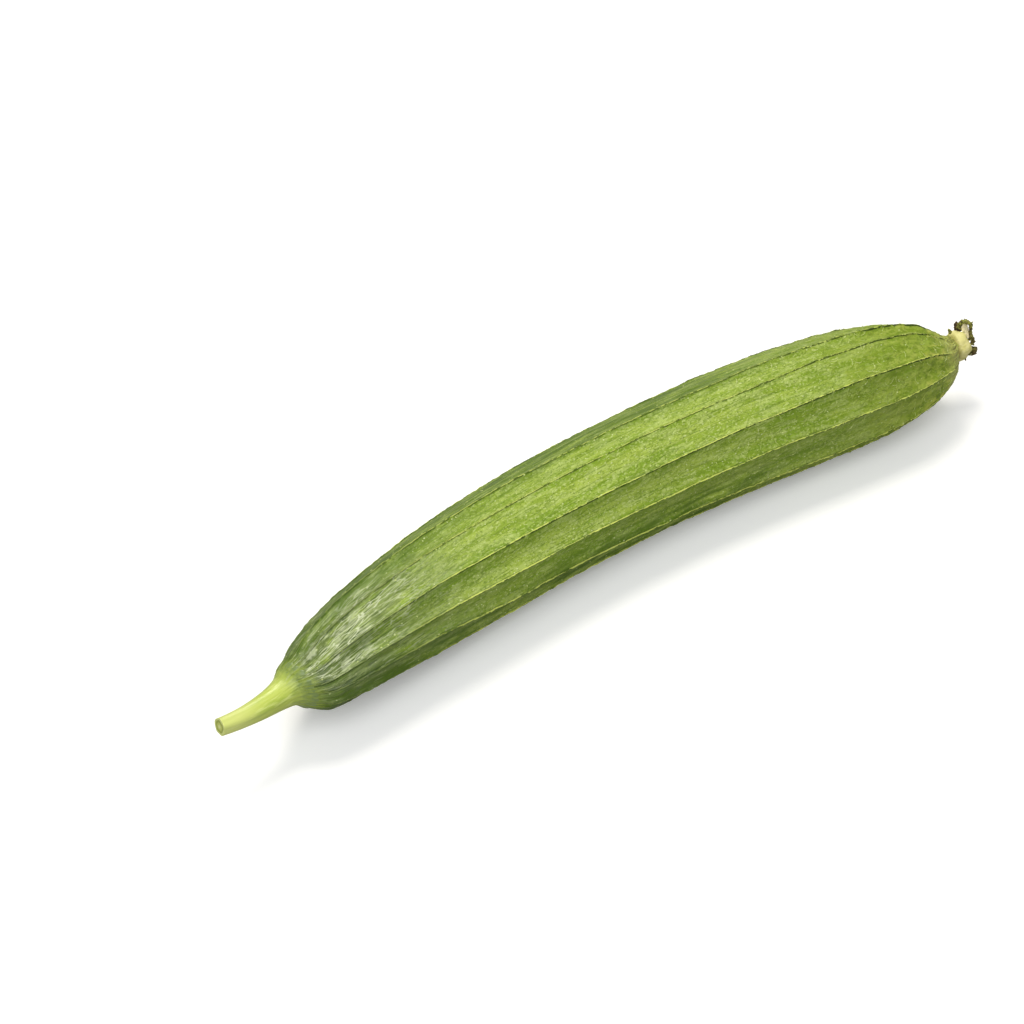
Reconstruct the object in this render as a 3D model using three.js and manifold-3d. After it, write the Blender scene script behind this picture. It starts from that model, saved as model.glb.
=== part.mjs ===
// A ridge gourd, Luffa acutangula, as picked, lying on its side. Millimetres, +Z up.
// The fruit's centreline is an arc in plan: the stem is at -X, the blossom end at +X, and it bows towards +Y.
// The ridges reach the profile's radius and the skin between them falls back into ten shallow valleys.
// The stem, the pale knob at the blossom end and the withered flower on it are pieces of their own.
import * as THREE from "three";
import { mergeVertices } from "three/addons/utils/BufferGeometryUtils.js";
import Module from "manifold-3d";

// The fruit.
const FRUIT_CHORD = 316; // from the stem's seat to the knob's seat, in a straight line
const FRUIT_BOW = 19; // how far the centreline's middle stands off that line
const VALLEY_DEPTH = 2.3; // from the line of the ridges down to the floor of a valley
const VALLEY_BUILD_UP = 26; // the length over which the valleys deepen from either end

// How the ends, 0 at the stem and 1 at the flower, are drawn off the arc: sideways, up and over what reach.
const END_SHIFTS = [
  { end: 0, side: -2.1, up: 0, reach: 40 },
  { end: 0, side: 2.8, up: 1, reach: 10 },
  { end: 1, side: -2.8, up: 0, reach: 36 },
  { end: 1, side: 5.4, up: 1.1, reach: 9 },
];

// Ridge radius at distances along the centreline, as shares of its length.
const FRUIT_PROFILE = [
  [0, 6.1],
  [0.012, 9.9],
  [0.045, 14.8],
  [0.12, 18.8],
  [0.25, 22.2],
  [0.4, 23.5],
  [0.55, 24.2],
  [0.7, 25],
  [0.8, 24.8],
  [0.88, 23.1],
  [0.94, 18.4],
  [0.984, 9.8],
  [1, 4.3],
];

// Each ridge's place round the fruit at mid-length, in degrees from the top towards -Y,
// and how far it turns from the stem's end to the blossom end.
const RIDGES = [
  { at: -8, turn: 17 },
  { at: 14, turn: 9 },
  { at: 46, turn: 9 },
  { at: 75, turn: 15 },
  { at: 105, turn: 36 },
  { at: 133, turn: 26 },
  { at: 161, turn: 14 },
  { at: 199, turn: 12 },
  { at: 246, turn: 12 },
  { at: 295, turn: 14 },
];
const RIDGE_SWAY = -11; // degrees by which every ridge swings round towards both ends
const RIDGE_REACH = 18; // degrees from a ridge to the floor of its valley
const RIDGE_STEPS = [0, 0.09, 0.28, 0.5, 0.72, 0.91]; // shares of the way from a ridge to the next one

// The stem's radius at distances from its seat on the fruit.
const STEM_PROFILE = [
  [0, 5.9],
  [2.5, 5.4],
  [7, 4.7],
  [13, 4.1],
  [21, 3.5],
  [30, 3.1],
];
const STEM_END_HEADING = 1; // degrees off the fruit's chord at its cut end
const STEM_RISE = 3; // how far its cut end stands above its seat

// The knob, the flower's cup that stays on the fruit: radius at heights above its seat.
const KNOB_PROFILE = [
  [0, 4.2],
  [0.8, 5.7],
  [2, 6.45],
  [3.7, 6.2],
  [5, 5.6],
  [5.7, 4.8],
];
const KNOB_DISH = [
  [5.6, 4.1],
  [4.9, 2.7],
  [4.6, 0],
];
const KNOB_HEIGHT = 5.7;
const KNOB_TURN = 8; // degrees that it turns off the fruit's end, towards +Y
const KNOB_PITCH = 10; // degrees up from level

// The five withered sepals on the knob. Places are in degrees round it from -Y towards the top,
// millimetres from its axis and millimetres above its rim. A sepal leans off the axis and curls over.
const SEPALS = [
  { at: 137, out: 6.8, height: -3.3, lean: 80, curl: 30, length: 1.6, width: 1.7 },
  { at: 137, out: 5.8, height: -0.2, lean: 78, curl: -25, length: 3.8, width: 2.5 },
  { at: -26, out: 4.5, height: 0.4, lean: -55, curl: 260, length: 5, width: 3.4 },
  { at: -42, out: 6.7, height: -2.6, lean: 95, curl: 20, length: 0.9, width: 1 },
  { at: 215, out: 5.3, height: 0.5, lean: 30, curl: 120, length: 4.2, width: 2.2 },
];
const SEPAL_FLATNESS = 0.55; // thickness over width
// A sepal's half-width along it, as a share of its width.
const SEPAL_OUTLINE = [
  [0, 0.35],
  [0.3, 0.5],
  [0.7, 0.4],
  [1, 0.15],
];

// The withered corolla: a shrivelled rope of petals that stands as a loop on the rim's top
// and trails over the knob's face. Its points are places on the knob, like the sepals'.
const COROLLA_ROUTE = [
  [124, 4.7, 1.2],
  [124, 6.6, 1.4],
  [119, 7.9, 1.6],
  [112, 8.1, 2.2],
  [103, 7.4, 2.8],
  [101, 5.8, 3.2],
  [96, 3.9, 2.7],
  [71, 3.7, 1.8],
  [46, 3.1, 1.5],
  [10, 3.2, 1.3],
];
const COROLLA_RADIUS = 0.85;
const COROLLA_LUMP_RADIUS = 1; // the rounded lump at each of its ends

// The withered style, which stands in the middle of the dish.
const STYLE_HEIGHT = 5.4;
const STYLE_RADIUS = 0.75;
// Its waist and the stigma's swelling at its tip: shares of its height, and shares of its radius.
const STYLE_OUTLINE = [
  [0, 1],
  [0.5, 0.7],
  [0.9, 1],
  [1, 0.6],
];

const SEAM = 0.3; // the gap between pieces that touch
const FRUIT_RINGS = 40;

const wasm = await Module();
wasm.setup();

// A level arc from its chord and its bow.
class BowedArc extends THREE.Curve {
  constructor(chord, bow) {
    super();
    this.chord = chord;
    this.radius = chord ** 2 / (8 * bow) + bow / 2;
    this.halfAngle = Math.asin(chord / 2 / this.radius);
  }

  getPoint(t, target = new THREE.Vector3()) {
    const angle = (2 * t - 1) * this.halfAngle;
    const across = this.radius * (Math.cos(angle) - Math.cos(this.halfAngle));
    return target.set(this.radius * Math.sin(angle), across, 0);
  }
}

// The level sideways direction and the upward one at a place on a curve.
function frameOn(curve, t) {
  const along = curve.getTangent(t);
  const side = new THREE.Vector3().crossVectors(new THREE.Vector3(0, 0, 1), along).normalize();
  return { side, up: new THREE.Vector3().crossVectors(along, side) };
}

// Bends a lathed shape, whose axis runs from y = 0 to y = length, along a curve.
function bendAlong(geometry, curve, length) {
  const position = geometry.attributes.position;
  const point = new THREE.Vector3();
  for (let i = 0; i < position.count; i += 1) {
    const t = THREE.MathUtils.clamp(position.getY(i) / length, 0, 1);
    const { side, up } = frameOn(curve, t);
    curve.getPoint(t, point);
    point.addScaledVector(side, -position.getX(i));
    point.addScaledVector(up, position.getZ(i));
    position.setXYZ(i, point.x, point.y, point.z);
  }
  return geometry;
}

// A closed lathe profile through [height, radius] stations, with the ends drawn in to the axis.
function profileThrough(stations, steps) {
  const spline = new THREE.SplineCurve(stations.map(([height, radius]) => new THREE.Vector2(radius, height)));
  const points = steps ? spline.getPoints(steps) : spline.points.map((point) => point.clone());
  points.unshift(new THREE.Vector2(0, points[0].y));
  points.push(new THREE.Vector2(0, points.at(-1).y));
  return points;
}

function named(name, geometry, material) {
  const mesh = new THREE.Mesh(geometry, material);
  mesh.name = name;
  return mesh;
}

// Turns a closed geometry into a solid that can be joined to others.
function solidOf(geometry) {
  const bare = geometry.clone();
  bare.deleteAttribute("normal");
  bare.deleteAttribute("uv");
  const merged = mergeVertices(bare, 1e-4);
  const mesh = new wasm.Mesh({
    numProp: 3,
    vertProperties: merged.attributes.position.array,
    triVerts: new Uint32Array(merged.index.array),
  });
  return new wasm.Manifold(mesh);
}

function geometryOf(solid) {
  const mesh = solid.getMesh();
  const geometry = new THREE.BufferGeometry();
  geometry.setAttribute("position", new THREE.BufferAttribute(new Float32Array(mesh.vertProperties), 3));
  geometry.setIndex(new THREE.BufferAttribute(mesh.triVerts, 1));
  geometry.computeVertexNormals();
  return geometry;
}

// Where a column of the section lies: its angle, and how deep it is sunk as a share of the valleys' depth.
function ridgePlace(column, t) {
  const ridge = Math.floor(column / RIDGE_STEPS.length);
  const share = RIDGE_STEPS[column % RIDGE_STEPS.length];
  const angleOf = (index) => {
    const { at, turn } = RIDGES[index % RIDGES.length];
    return at + turn * (t - 0.5) + RIDGE_SWAY * (2 * t - 1) ** 2 + (index >= RIDGES.length ? 360 : 0);
  };
  const gap = angleOf(ridge + 1) - angleOf(ridge);
  const reach = Math.min(RIDGE_REACH, gap / 2);
  const fromRidge = Math.min(share, 1 - share) * gap;
  const sunk = Math.sin((Math.PI / 2) * Math.min(1, fromRidge / reach)) * (reach / RIDGE_REACH) ** 0.7;
  return { angle: THREE.MathUtils.degToRad(angleOf(ridge) + share * gap), sunk };
}

// How far the section is drawn sideways and up at a distance along the fruit.
function shiftAt(along, length) {
  const shift = { side: 0, up: 0 };
  for (const { end, side, up, reach } of END_SHIFTS) {
    const share = Math.max(0, 1 - Math.abs(end * length - along) / reach) ** 2;
    shift.side += side * share;
    shift.up += up * share;
  }
  return shift;
}

// The fruit: a lathed body whose columns are moved onto the ridges and sunk between them.
function makeFruit(curve, material) {
  const columns = RIDGES.length * RIDGE_STEPS.length;
  const length = curve.getLength();
  const stations = FRUIT_PROFILE.map(([share, radius]) => [share * length, radius]);
  const geometry = new THREE.LatheGeometry(profileThrough(stations, FRUIT_RINGS), columns);
  const position = geometry.attributes.position;
  const rings = FRUIT_RINGS + 3;
  for (let i = 0; i < position.count; i += 1) {
    const along = position.getY(i);
    const { angle, sunk } = ridgePlace(Math.floor(i / rings) % columns, along / length);
    const ridgeRadius = Math.hypot(position.getX(i), position.getZ(i));
    const builtUp = THREE.MathUtils.smoothstep(Math.min(along, length - along), 0, VALLEY_BUILD_UP);
    const radius = ridgeRadius > 0 ? ridgeRadius - VALLEY_DEPTH * builtUp * sunk : 0;
    const shift = shiftAt(along, length);
    position.setXYZ(i, radius * Math.sin(angle) - shift.side, along, radius * Math.cos(angle) + shift.up);
  }
  return named("fruit", bendAlong(geometry, curve, length), material);
}

// The seat of a piece on one end of the fruit, a seam's width off it, and the direction away from the fruit.
function seatOn(curve, t) {
  const outward = curve.getTangent(t).multiplyScalar(t > 0.5 ? 1 : -1);
  const { side, up } = frameOn(curve, t);
  const length = curve.getLength();
  const shift = shiftAt(t * length, length);
  const point = curve.getPoint(t).addScaledVector(side, shift.side).addScaledVector(up, shift.up);
  point.addScaledVector(outward, SEAM);
  return { point, outward };
}

// A smooth path from one point and direction to another.
function pathBetween(from, direction, to, endDirection) {
  const reach = from.distanceTo(to) / 3;
  const first = from.clone().addScaledVector(direction, reach);
  const second = to.clone().addScaledVector(endDirection, -reach);
  return new THREE.CubicBezierCurve3(from, first, second, to);
}

// A level direction turned up by a pitch, both in degrees.
function directionOf(heading, pitch) {
  const fromTop = THREE.MathUtils.degToRad(90 - pitch);
  const turned = THREE.MathUtils.degToRad(heading + 90);
  const { x, y, z } = new THREE.Vector3().setFromSphericalCoords(1, fromTop, turned);
  return new THREE.Vector3(x, -z, y);
}

// The stem: a stalk that flares onto the fruit and rises a little to its cut end.
function makeStem({ point, outward }, material) {
  const length = STEM_PROFILE.at(-1)[0];
  const leaving = THREE.MathUtils.radToDeg(Math.atan2(outward.y, outward.x));
  const endHeading = STEM_END_HEADING - 180;
  const endPitch = 2 * THREE.MathUtils.radToDeg(Math.asin(STEM_RISE / length));
  const level = directionOf((leaving + endHeading) / 2, 0);
  const end = point.clone().addScaledVector(level, Math.sqrt(length ** 2 - STEM_RISE ** 2));
  end.z += STEM_RISE;
  const curve = pathBetween(point, outward, end, directionOf(endHeading, endPitch));
  const geometry = new THREE.LatheGeometry(profileThrough(STEM_PROFILE, 12), 16);
  return named("stem", bendAlong(geometry, curve, length), material);
}

// The knob's bent axis, from its seat to its rim.
function knobAxis({ point, outward }) {
  const heading = THREE.MathUtils.radToDeg(Math.atan2(outward.y, outward.x)) + KNOB_TURN;
  const facing = directionOf(heading, KNOB_PITCH);
  const mean = outward.clone().add(facing).normalize();
  return pathBetween(point, outward, point.clone().addScaledVector(mean, KNOB_HEIGHT), facing);
}

function makeKnob(axis, material) {
  const outside = profileThrough(KNOB_PROFILE, 10).slice(0, -1);
  const dish = KNOB_DISH.map(([height, radius]) => new THREE.Vector2(radius, height));
  const geometry = new THREE.LatheGeometry([...outside, ...dish], 20);
  return named("blossom_knob", bendAlong(geometry, axis, KNOB_HEIGHT), material);
}

// A group that stands on the knob's rim, with +Y along its axis, +X towards -Y and +Z up.
function rimGroup(axis) {
  const { side, up } = frameOn(axis, 1);
  const basis = new THREE.Matrix4().makeBasis(side.negate(), axis.getTangent(1), up);
  const group = new THREE.Group();
  group.quaternion.setFromRotationMatrix(basis);
  group.position.copy(axis.getPoint(1));
  return group;
}

// A place on the knob: degrees round it, distance from its axis, height above its rim.
function onKnob(degrees, out, height) {
  const angle = THREE.MathUtils.degToRad(degrees);
  return new THREE.Vector3(out * Math.cos(angle), height, out * Math.sin(angle));
}

// One sepal: a narrow tongue that leans off the knob and curls over.
function makeSepal({ at, out, height, lean, curl, length, width }, index, material) {
  const steps = 8;
  const outward = onKnob(at, 1, 0);
  const points = [onKnob(at, out, height)];
  for (let i = 0; i < steps; i += 1) {
    const tilt = THREE.MathUtils.degToRad(lean + (curl * (i + 0.5)) / steps);
    const next = points.at(-1).clone().addScaledVector(outward, (Math.sin(tilt) * length) / steps);
    next.y += (Math.cos(tilt) * length) / steps;
    points.push(next);
  }
  const curve = new THREE.CatmullRomCurve3(points);
  const across = new THREE.Vector3().crossVectors(outward, new THREE.Vector3(0, 1, 0));
  const outline = SEPAL_OUTLINE.map(([share, halfWidth]) => [share, halfWidth * width]);
  const geometry = new THREE.LatheGeometry(profileThrough(outline, steps), 8);
  const position = geometry.attributes.position;
  for (let i = 0; i < position.count; i += 1) {
    const t = position.getY(i);
    const through = new THREE.Vector3().crossVectors(across, curve.getTangent(t));
    const point = curve.getPoint(t).addScaledVector(across, position.getX(i));
    point.addScaledVector(through, position.getZ(i) * SEPAL_FLATNESS);
    position.setXYZ(i, point.x, point.y, point.z);
  }
  return named(`sepal_${index + 1}`, geometry, material);
}

// The corolla: the rope of petals with a rounded lump at each of its ends.
function makeCorolla(material) {
  const route = new THREE.CatmullRomCurve3(COROLLA_ROUTE.map((place) => onKnob(...place)));
  const section = new THREE.Shape().absarc(0, 0, COROLLA_RADIUS, 0, 2 * Math.PI);
  const rope = new THREE.ExtrudeGeometry(section, { steps: 28, curveSegments: 4, extrudePath: route });
  let solid = solidOf(rope);
  for (const t of [0, 1]) {
    const lump = new THREE.IcosahedronGeometry(COROLLA_LUMP_RADIUS, 1);
    lump.translate(...route.getPoint(t));
    solid = solid.add(solidOf(lump));
  }
  return named("withered_corolla", geometryOf(solid), material);
}

function makeStyle(material) {
  const base = KNOB_DISH.at(-1)[0] - KNOB_HEIGHT + SEAM;
  const stations = STYLE_OUTLINE.map(([share, width]) => [base + share * STYLE_HEIGHT, width * STYLE_RADIUS]);
  const geometry = new THREE.LatheGeometry(profileThrough(stations, 6), 8);
  return named("withered_style", geometry, material);
}

// Puts the middle of the gourd's underside at the origin.
function standOnOrigin(gourd) {
  const box = new THREE.Box3().setFromObject(gourd, true);
  gourd.position.set(-(box.min.x + box.max.x) / 2, -(box.min.y + box.max.y) / 2, -box.min.z);
}

function makeGourd() {
  const skin = new THREE.MeshStandardMaterial({ color: 0x86a03c, roughness: 0.5, metalness: 0 });
  const stalk = new THREE.MeshStandardMaterial({ color: 0xbccb5a, roughness: 0.45, metalness: 0 });
  const cup = new THREE.MeshStandardMaterial({ color: 0xdcd684, roughness: 0.6, metalness: 0 });
  const withered = new THREE.MeshStandardMaterial({ color: 0x5a4a26, roughness: 0.85, metalness: 0 });

  const gourd = new THREE.Group();
  const curve = new BowedArc(FRUIT_CHORD, FRUIT_BOW);
  gourd.add(makeFruit(curve, skin));
  gourd.add(makeStem(seatOn(curve, 0), stalk));

  const axis = knobAxis(seatOn(curve, 1));
  gourd.add(makeKnob(axis, cup));
  const flower = rimGroup(axis);
  SEPALS.forEach((sepal, index) => flower.add(makeSepal(sepal, index, withered)));
  flower.add(makeCorolla(withered));
  flower.add(makeStyle(withered));
  gourd.add(flower);

  standOnOrigin(gourd);
  const whole = new THREE.Group();
  whole.add(gourd);
  return whole;
}

export default makeGourd();
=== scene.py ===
"""A ridge gourd as picked, lying on its side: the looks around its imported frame.

The rind is grown by geometry nodes from the same centreline, profile and ridges as the solid fruit.
Ragged crests with scabs stand along its ridges, and corky specks and stray hairs on its skin. The
stalk, the pale knob and the withered flower are swept skins that stand for their solids. Sizes are in
millimetres up to the last step of each mesh, which is in metres. Angles are in degrees where nothing
else is said, and those round the fruit count from the top towards -Y.
"""

import logging
import math
from collections.abc import Callable, Iterable, Mapping, Sequence
from dataclasses import dataclass, field, replace
from enum import Enum

import bmesh
import bpy
import numpy as np
from bpy.types import Material, Mesh, Node, NodeSocket, NodeTree, Object
from mathutils import Matrix, Vector, noise


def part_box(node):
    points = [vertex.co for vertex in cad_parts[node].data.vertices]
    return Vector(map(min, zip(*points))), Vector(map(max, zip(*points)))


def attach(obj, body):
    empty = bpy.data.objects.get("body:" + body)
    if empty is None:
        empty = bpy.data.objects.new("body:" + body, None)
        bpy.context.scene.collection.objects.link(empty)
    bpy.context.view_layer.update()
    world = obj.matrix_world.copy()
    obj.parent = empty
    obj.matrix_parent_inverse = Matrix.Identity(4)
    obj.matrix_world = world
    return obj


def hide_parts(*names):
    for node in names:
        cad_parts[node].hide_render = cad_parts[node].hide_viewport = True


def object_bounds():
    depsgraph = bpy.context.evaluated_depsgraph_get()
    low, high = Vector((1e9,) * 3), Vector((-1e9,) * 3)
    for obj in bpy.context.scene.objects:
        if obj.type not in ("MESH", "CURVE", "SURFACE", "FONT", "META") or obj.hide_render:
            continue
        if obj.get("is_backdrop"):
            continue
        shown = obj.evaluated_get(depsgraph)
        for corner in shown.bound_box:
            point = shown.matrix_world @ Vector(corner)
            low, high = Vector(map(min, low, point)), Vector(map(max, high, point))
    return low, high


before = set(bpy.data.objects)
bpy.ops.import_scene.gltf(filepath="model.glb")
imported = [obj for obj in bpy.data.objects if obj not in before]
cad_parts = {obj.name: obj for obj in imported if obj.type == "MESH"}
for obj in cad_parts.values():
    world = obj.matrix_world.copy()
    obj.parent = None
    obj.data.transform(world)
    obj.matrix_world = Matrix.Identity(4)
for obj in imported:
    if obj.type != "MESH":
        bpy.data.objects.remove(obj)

MM = 0.001
PER_CM2 = 1e4

# Nearly all of a noise's values lie between these.
NOISE_LOW, NOISE_HIGH = 0.25, 0.75

# A skirt's hidden inner edge: how far it lies past the last ring, and how far under it.
SKIRT_ROOT_BACK, SKIRT_ROOT_INSET = 0.3, 1.2

MATH = "ShaderNodeMath"
VECTOR_MATH = "ShaderNodeVectorMath"
COMBINE = "ShaderNodeCombineXYZ"
SEPARATE = "ShaderNodeSeparateXYZ"
MAP_RANGE = "ShaderNodeMapRange"
MIX = "ShaderNodeMix"
NOISE = "ShaderNodeTexNoise"
VORONOI = "ShaderNodeTexVoronoi"
ATTRIBUTE = "ShaderNodeAttribute"
STORE = "GeometryNodeStoreNamedAttribute"
STORED = "GeometryNodeInputNamedAttribute"
SET_POSITION = "GeometryNodeSetPosition"
RANDOM = "FunctionNodeRandomValue"
SCATTER = "GeometryNodeDistributePointsOnFaces"

log = logging.getLogger("ridge_gourd")


# -------- nodes and colours


def linear(code: str) -> tuple[float, float, float, float]:
    """Turns a colour into the values that a shader takes.

    Args:
        code: An sRGB hex colour such as "#86a03c".

    Returns:
        Linear red, green and blue, and an alpha of 1.
    """
    shares = [int(code[i : i + 2], 16) / 255 for i in (1, 3, 5)]
    red, green, blue = (c / 12.92 if c <= 0.04045 else ((c + 0.055) / 1.055) ** 2.4 for c in shares)
    return red, green, blue, 1.0


def add(
    tree: NodeTree,
    kind: str,
    *values: object,
    named: Mapping[str, object] | None = None,
    **settings: object,
) -> Node:
    """Adds a node, sets it up, and links or fills its inputs.

    Args:
        tree: The node tree that the node joins.
        kind: The name of the node's type.
        *values: What its inputs get, in order: a node, a socket, a plain value, or None to leave one alone.
        named: What further inputs get, by their names.
        **settings: The node's own properties.

    Returns:
        The node.
    """
    node = tree.nodes.new(kind)
    for name, value in settings.items():
        setattr(node, name, value)
    return fill(node, *values, named=named)


def fill(node: Node, *values: object, named: Mapping[str, object] | None = None) -> Node:
    """Links or fills a node's inputs.

    Args:
        node: The node.
        *values: What its inputs get, as in add(), and a list for an input that takes several.
        named: What further inputs get, by their names.

    Returns:
        The node.
    """
    shown = [socket for socket in node.inputs if socket.enabled]
    pairs = list(zip(shown, values))
    pairs += [(next(s for s in shown if s.name == name), value) for name, value in (named or {}).items()]
    for socket, given in pairs:
        for value in given if isinstance(given, list) else [given]:
            if isinstance(value, Node):
                value = next(s for s in value.outputs if s.enabled)
            if isinstance(value, NodeSocket):
                node.id_data.links.new(value, socket)
            elif value is not None:
                socket.default_value = value
    return node


class Wiring:
    """A node tree that is being filled."""

    tree: NodeTree

    def add(
        self, kind: str, *values: object, named: Mapping[str, object] | None = None, **settings: object
    ) -> Node:
        """Adds a node to the tree, as add() does."""
        return add(self.tree, kind, *values, named=named, **settings)


class Recipe(Wiring):
    """A geometry node tree with named sizes, and its run that leaves a plain mesh."""

    def __init__(self, name: str, sizes: Mapping[str, float], finish: Material) -> None:
        """Starts the tree.

        Args:
            name: The tree's name.
            sizes: Its named inputs and what they are set to. A whole number makes an integer input.
            finish: The material of what it makes.
        """
        self.tree = bpy.data.node_groups.new(name, "GeometryNodeTree")
        self.values: dict[str, object] = {**sizes, "Finish": finish}
        make = self.tree.interface.new_socket
        make("Geometry", in_out="OUTPUT", socket_type="NodeSocketGeometry")
        make("Geometry", in_out="INPUT", socket_type="NodeSocketGeometry")
        for label, value in sizes.items():
            kind = "NodeSocketInt" if isinstance(value, int) else "NodeSocketFloat"
            make(label, in_out="INPUT", socket_type=kind)
        make("Finish", in_out="INPUT", socket_type="NodeSocketMaterial")
        self.given = add(self.tree, "NodeGroupInput").outputs

    def end(self, geometry: Node) -> None:
        """Closes the tree: realises what is instanced, sets the finish and leads to the output.

        Args:
            geometry: The node that makes the piece.
        """
        real = self.add("GeometryNodeRealizeInstances", geometry)
        dressed = self.add("GeometryNodeSetMaterial", real, named={"Material": self.given["Finish"]})
        self.add("NodeGroupOutput", dressed)

    def run(self, name: str, base: Mesh) -> Object:
        """Runs the tree on a base mesh.

        Args:
            name: The piece's name.
            base: The mesh that the tree starts from.

        Returns:
            An object that holds the result as a plain mesh.
        """
        piece = bpy.data.objects.new(name, base)
        bpy.context.scene.collection.objects.link(piece)
        modifier = piece.modifiers.new(name, "NODES")
        modifier.node_group = self.tree
        for item in self.tree.interface.items_tree:
            if item.in_out == "INPUT" and item.name in self.values:
                modifier[item.identifier] = self.values[item.name]
        depsgraph = bpy.context.evaluated_depsgraph_get()
        made = bpy.data.meshes.new_from_object(
            piece.evaluated_get(depsgraph), preserve_all_data_layers=True, depsgraph=depsgraph
        )
        piece.modifiers.remove(modifier)
        piece.data = made
        made.name = name
        return piece


# -------- paths and swept skins


@dataclass(frozen=True)
class Arc:
    """The fruit's centreline: a level arc in plan that bows towards +Y.

    Attributes:
        chord: The straight distance between its ends.
        bow: How far its middle stands off that line.
    """

    chord: float = 316.0
    bow: float = 19.0

    @property
    def radius(self) -> float:
        """The arc's radius."""
        return self.chord**2 / (8 * self.bow) + self.bow / 2

    @property
    def half_angle(self) -> float:
        """Half of the angle that it spans, in radians."""
        return math.asin(self.chord / 2 / self.radius)

    @property
    def length(self) -> float:
        """Its length."""
        return 2 * self.half_angle * self.radius

    def point(self, share: float) -> Vector:
        """Finds a place on the arc.

        Args:
            share: The share of its length, from the stalk's end.

        Returns:
            The place.
        """
        angle = (2 * share - 1) * self.half_angle
        across = self.radius * (math.cos(angle) - math.cos(self.half_angle))
        return Vector((self.radius * math.sin(angle), across, 0))

    def heading(self, share: float) -> Vector:
        """The direction towards the blossom end at a share of its length."""
        angle = (2 * share - 1) * self.half_angle
        return Vector((math.cos(angle), -math.sin(angle), 0))


def frame_on(along: Vector) -> tuple[Vector, Vector]:
    """The level sideways direction and the upward one across a direction."""
    side = Vector((0, 0, 1)).cross(along).normalized()
    return side, along.cross(side)


@dataclass(frozen=True)
class Path:
    """A smooth cubic path through space from its four control points."""

    points: tuple[Vector, Vector, Vector, Vector]

    @classmethod
    def between(cls, start: Vector, leaving: Vector, end: Vector, arriving: Vector) -> "Path":
        """The path that leaves one point and reaches another in given directions."""
        reach = (end - start).length / 3
        return cls((start, start + leaving * reach, end - arriving * reach, end))

    def point(self, share: float) -> Vector:
        """Finds a place on the path, which runs on straight past its ends.

        Args:
            share: The share of the way.

        Returns:
            The place.
        """
        inside = min(max(share, 0.0), 1.0)
        a, b, c, d = self.points
        rest = 1 - inside
        place = a * rest**3 + b * 3 * rest**2 * inside + c * 3 * rest * inside**2 + d * inside**3
        return place + self.heading(share) * (share - inside) * (d - a).length

    def heading(self, share: float) -> Vector:
        """Finds which way the path goes.

        Args:
            share: The share of the way.

        Returns:
            The direction, of length 1.
        """
        inside = min(max(share, 0.0), 1.0)
        a, b, c, d = self.points
        rest = 1 - inside
        return ((b - a) * rest**2 + (c - b) * 2 * rest * inside + (d - c) * inside**2).normalized()


def direction(heading: float, pitch: float) -> Vector:
    """A level direction at a heading from +X, turned up by a pitch, both in degrees."""
    turn, rise = math.radians(heading), math.radians(pitch)
    return Vector((math.cos(rise) * math.cos(turn), math.cos(rise) * math.sin(turn), math.sin(rise)))


def rounded(stations: Sequence[tuple[float, float]], count: int) -> list[tuple[float, float]]:
    """Points on a Catmull-Rom curve through a profile's stations.

    Args:
        stations: Pairs of height and radius.
        count: How many points are wanted.

    Returns:
        The points, the first and last station among them.
    """
    knots = np.array([stations[0], *stations, stations[-1]], float)
    made = []
    for place in np.linspace(0, len(stations) - 1, count):
        i = min(int(place), len(stations) - 2)
        t = place - i
        a, b, c, d = knots[i : i + 4]
        slope_in, slope_out = (c - a) / 2, (d - b) / 2
        cubic = (2 * b - 2 * c + slope_in + slope_out) * t**3
        made.append(tuple(cubic + (3 * c - 3 * b - 2 * slope_in - slope_out) * t**2 + slope_in * t + b))
    return made


def skin(name: str, rings: np.ndarray, finish: Material, **marks: np.ndarray) -> Object:
    """Makes a closed skin over rings of points, each end drawn in to one point.

    Args:
        name: The piece's name.
        rings: Points in millimetres, by ring and column. The first and the last are one repeated point.
        finish: Its material.
        **marks: Named numbers or vectors per ring and column, kept on the mesh for the material.

    Returns:
        The piece, smooth shaded, with its faces outwards.
    """
    count, columns = rings.shape[:2]
    inner = rings[1:-1].reshape(-1, 3)
    points = np.vstack([rings[0, :1], inner, rings[-1, :1]]) * MM
    last = len(points) - 1

    def at(ring: int, column: int) -> int:
        """The index of a point, with the ends' single points counted once."""
        return min(max(1 + (ring - 1) * columns + column % columns, 0), last)

    faces = []
    for ring in range(count - 1):
        for column in range(columns):
            corners = ((ring, column), (ring, column + 1), (ring + 1, column + 1), (ring + 1, column))
            faces.append(tuple(dict.fromkeys(at(*corner) for corner in corners)))
    mesh = bpy.data.meshes.new(name)
    mesh.from_pydata(points.tolist(), [], faces)
    for label, values in marks.items():
        flat = np.concatenate([values[0, :1], values[1:-1].reshape(-1, *values.shape[2:]), values[-1, :1]])
        kind, field_name = ("FLOAT_VECTOR", "vector") if values.ndim == 3 else ("FLOAT", "value")
        data = mesh.attributes.new(label, kind, "POINT").data
        data.foreach_set(field_name, flat.astype(np.float32).reshape(-1))
    mesh.shade_smooth()
    mesh.materials.append(finish)
    piece = bpy.data.objects.new(name, mesh)
    bpy.context.scene.collection.objects.link(piece)
    return piece


def press(mesh: Mesh, height: float) -> None:
    """Flattens what hangs below a height, as a soft thing flattens on the floor.

    Args:
        mesh: The mesh.
        height: The height of the floor, in metres.
    """
    places = np.empty(len(mesh.vertices) * 3)
    mesh.vertices.foreach_get("co", places)
    places[2::3] = np.maximum(places[2::3], height)
    mesh.vertices.foreach_set("co", places)


def rough(place: Sequence[float], scale: float, seed: float) -> float:
    """Smooth random unevenness from -1 to 1 at a place, for lumps about as large as scale."""
    return noise.noise(Vector(place) / scale + Vector((seed, seed, seed)))


# -------- finishes


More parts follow.
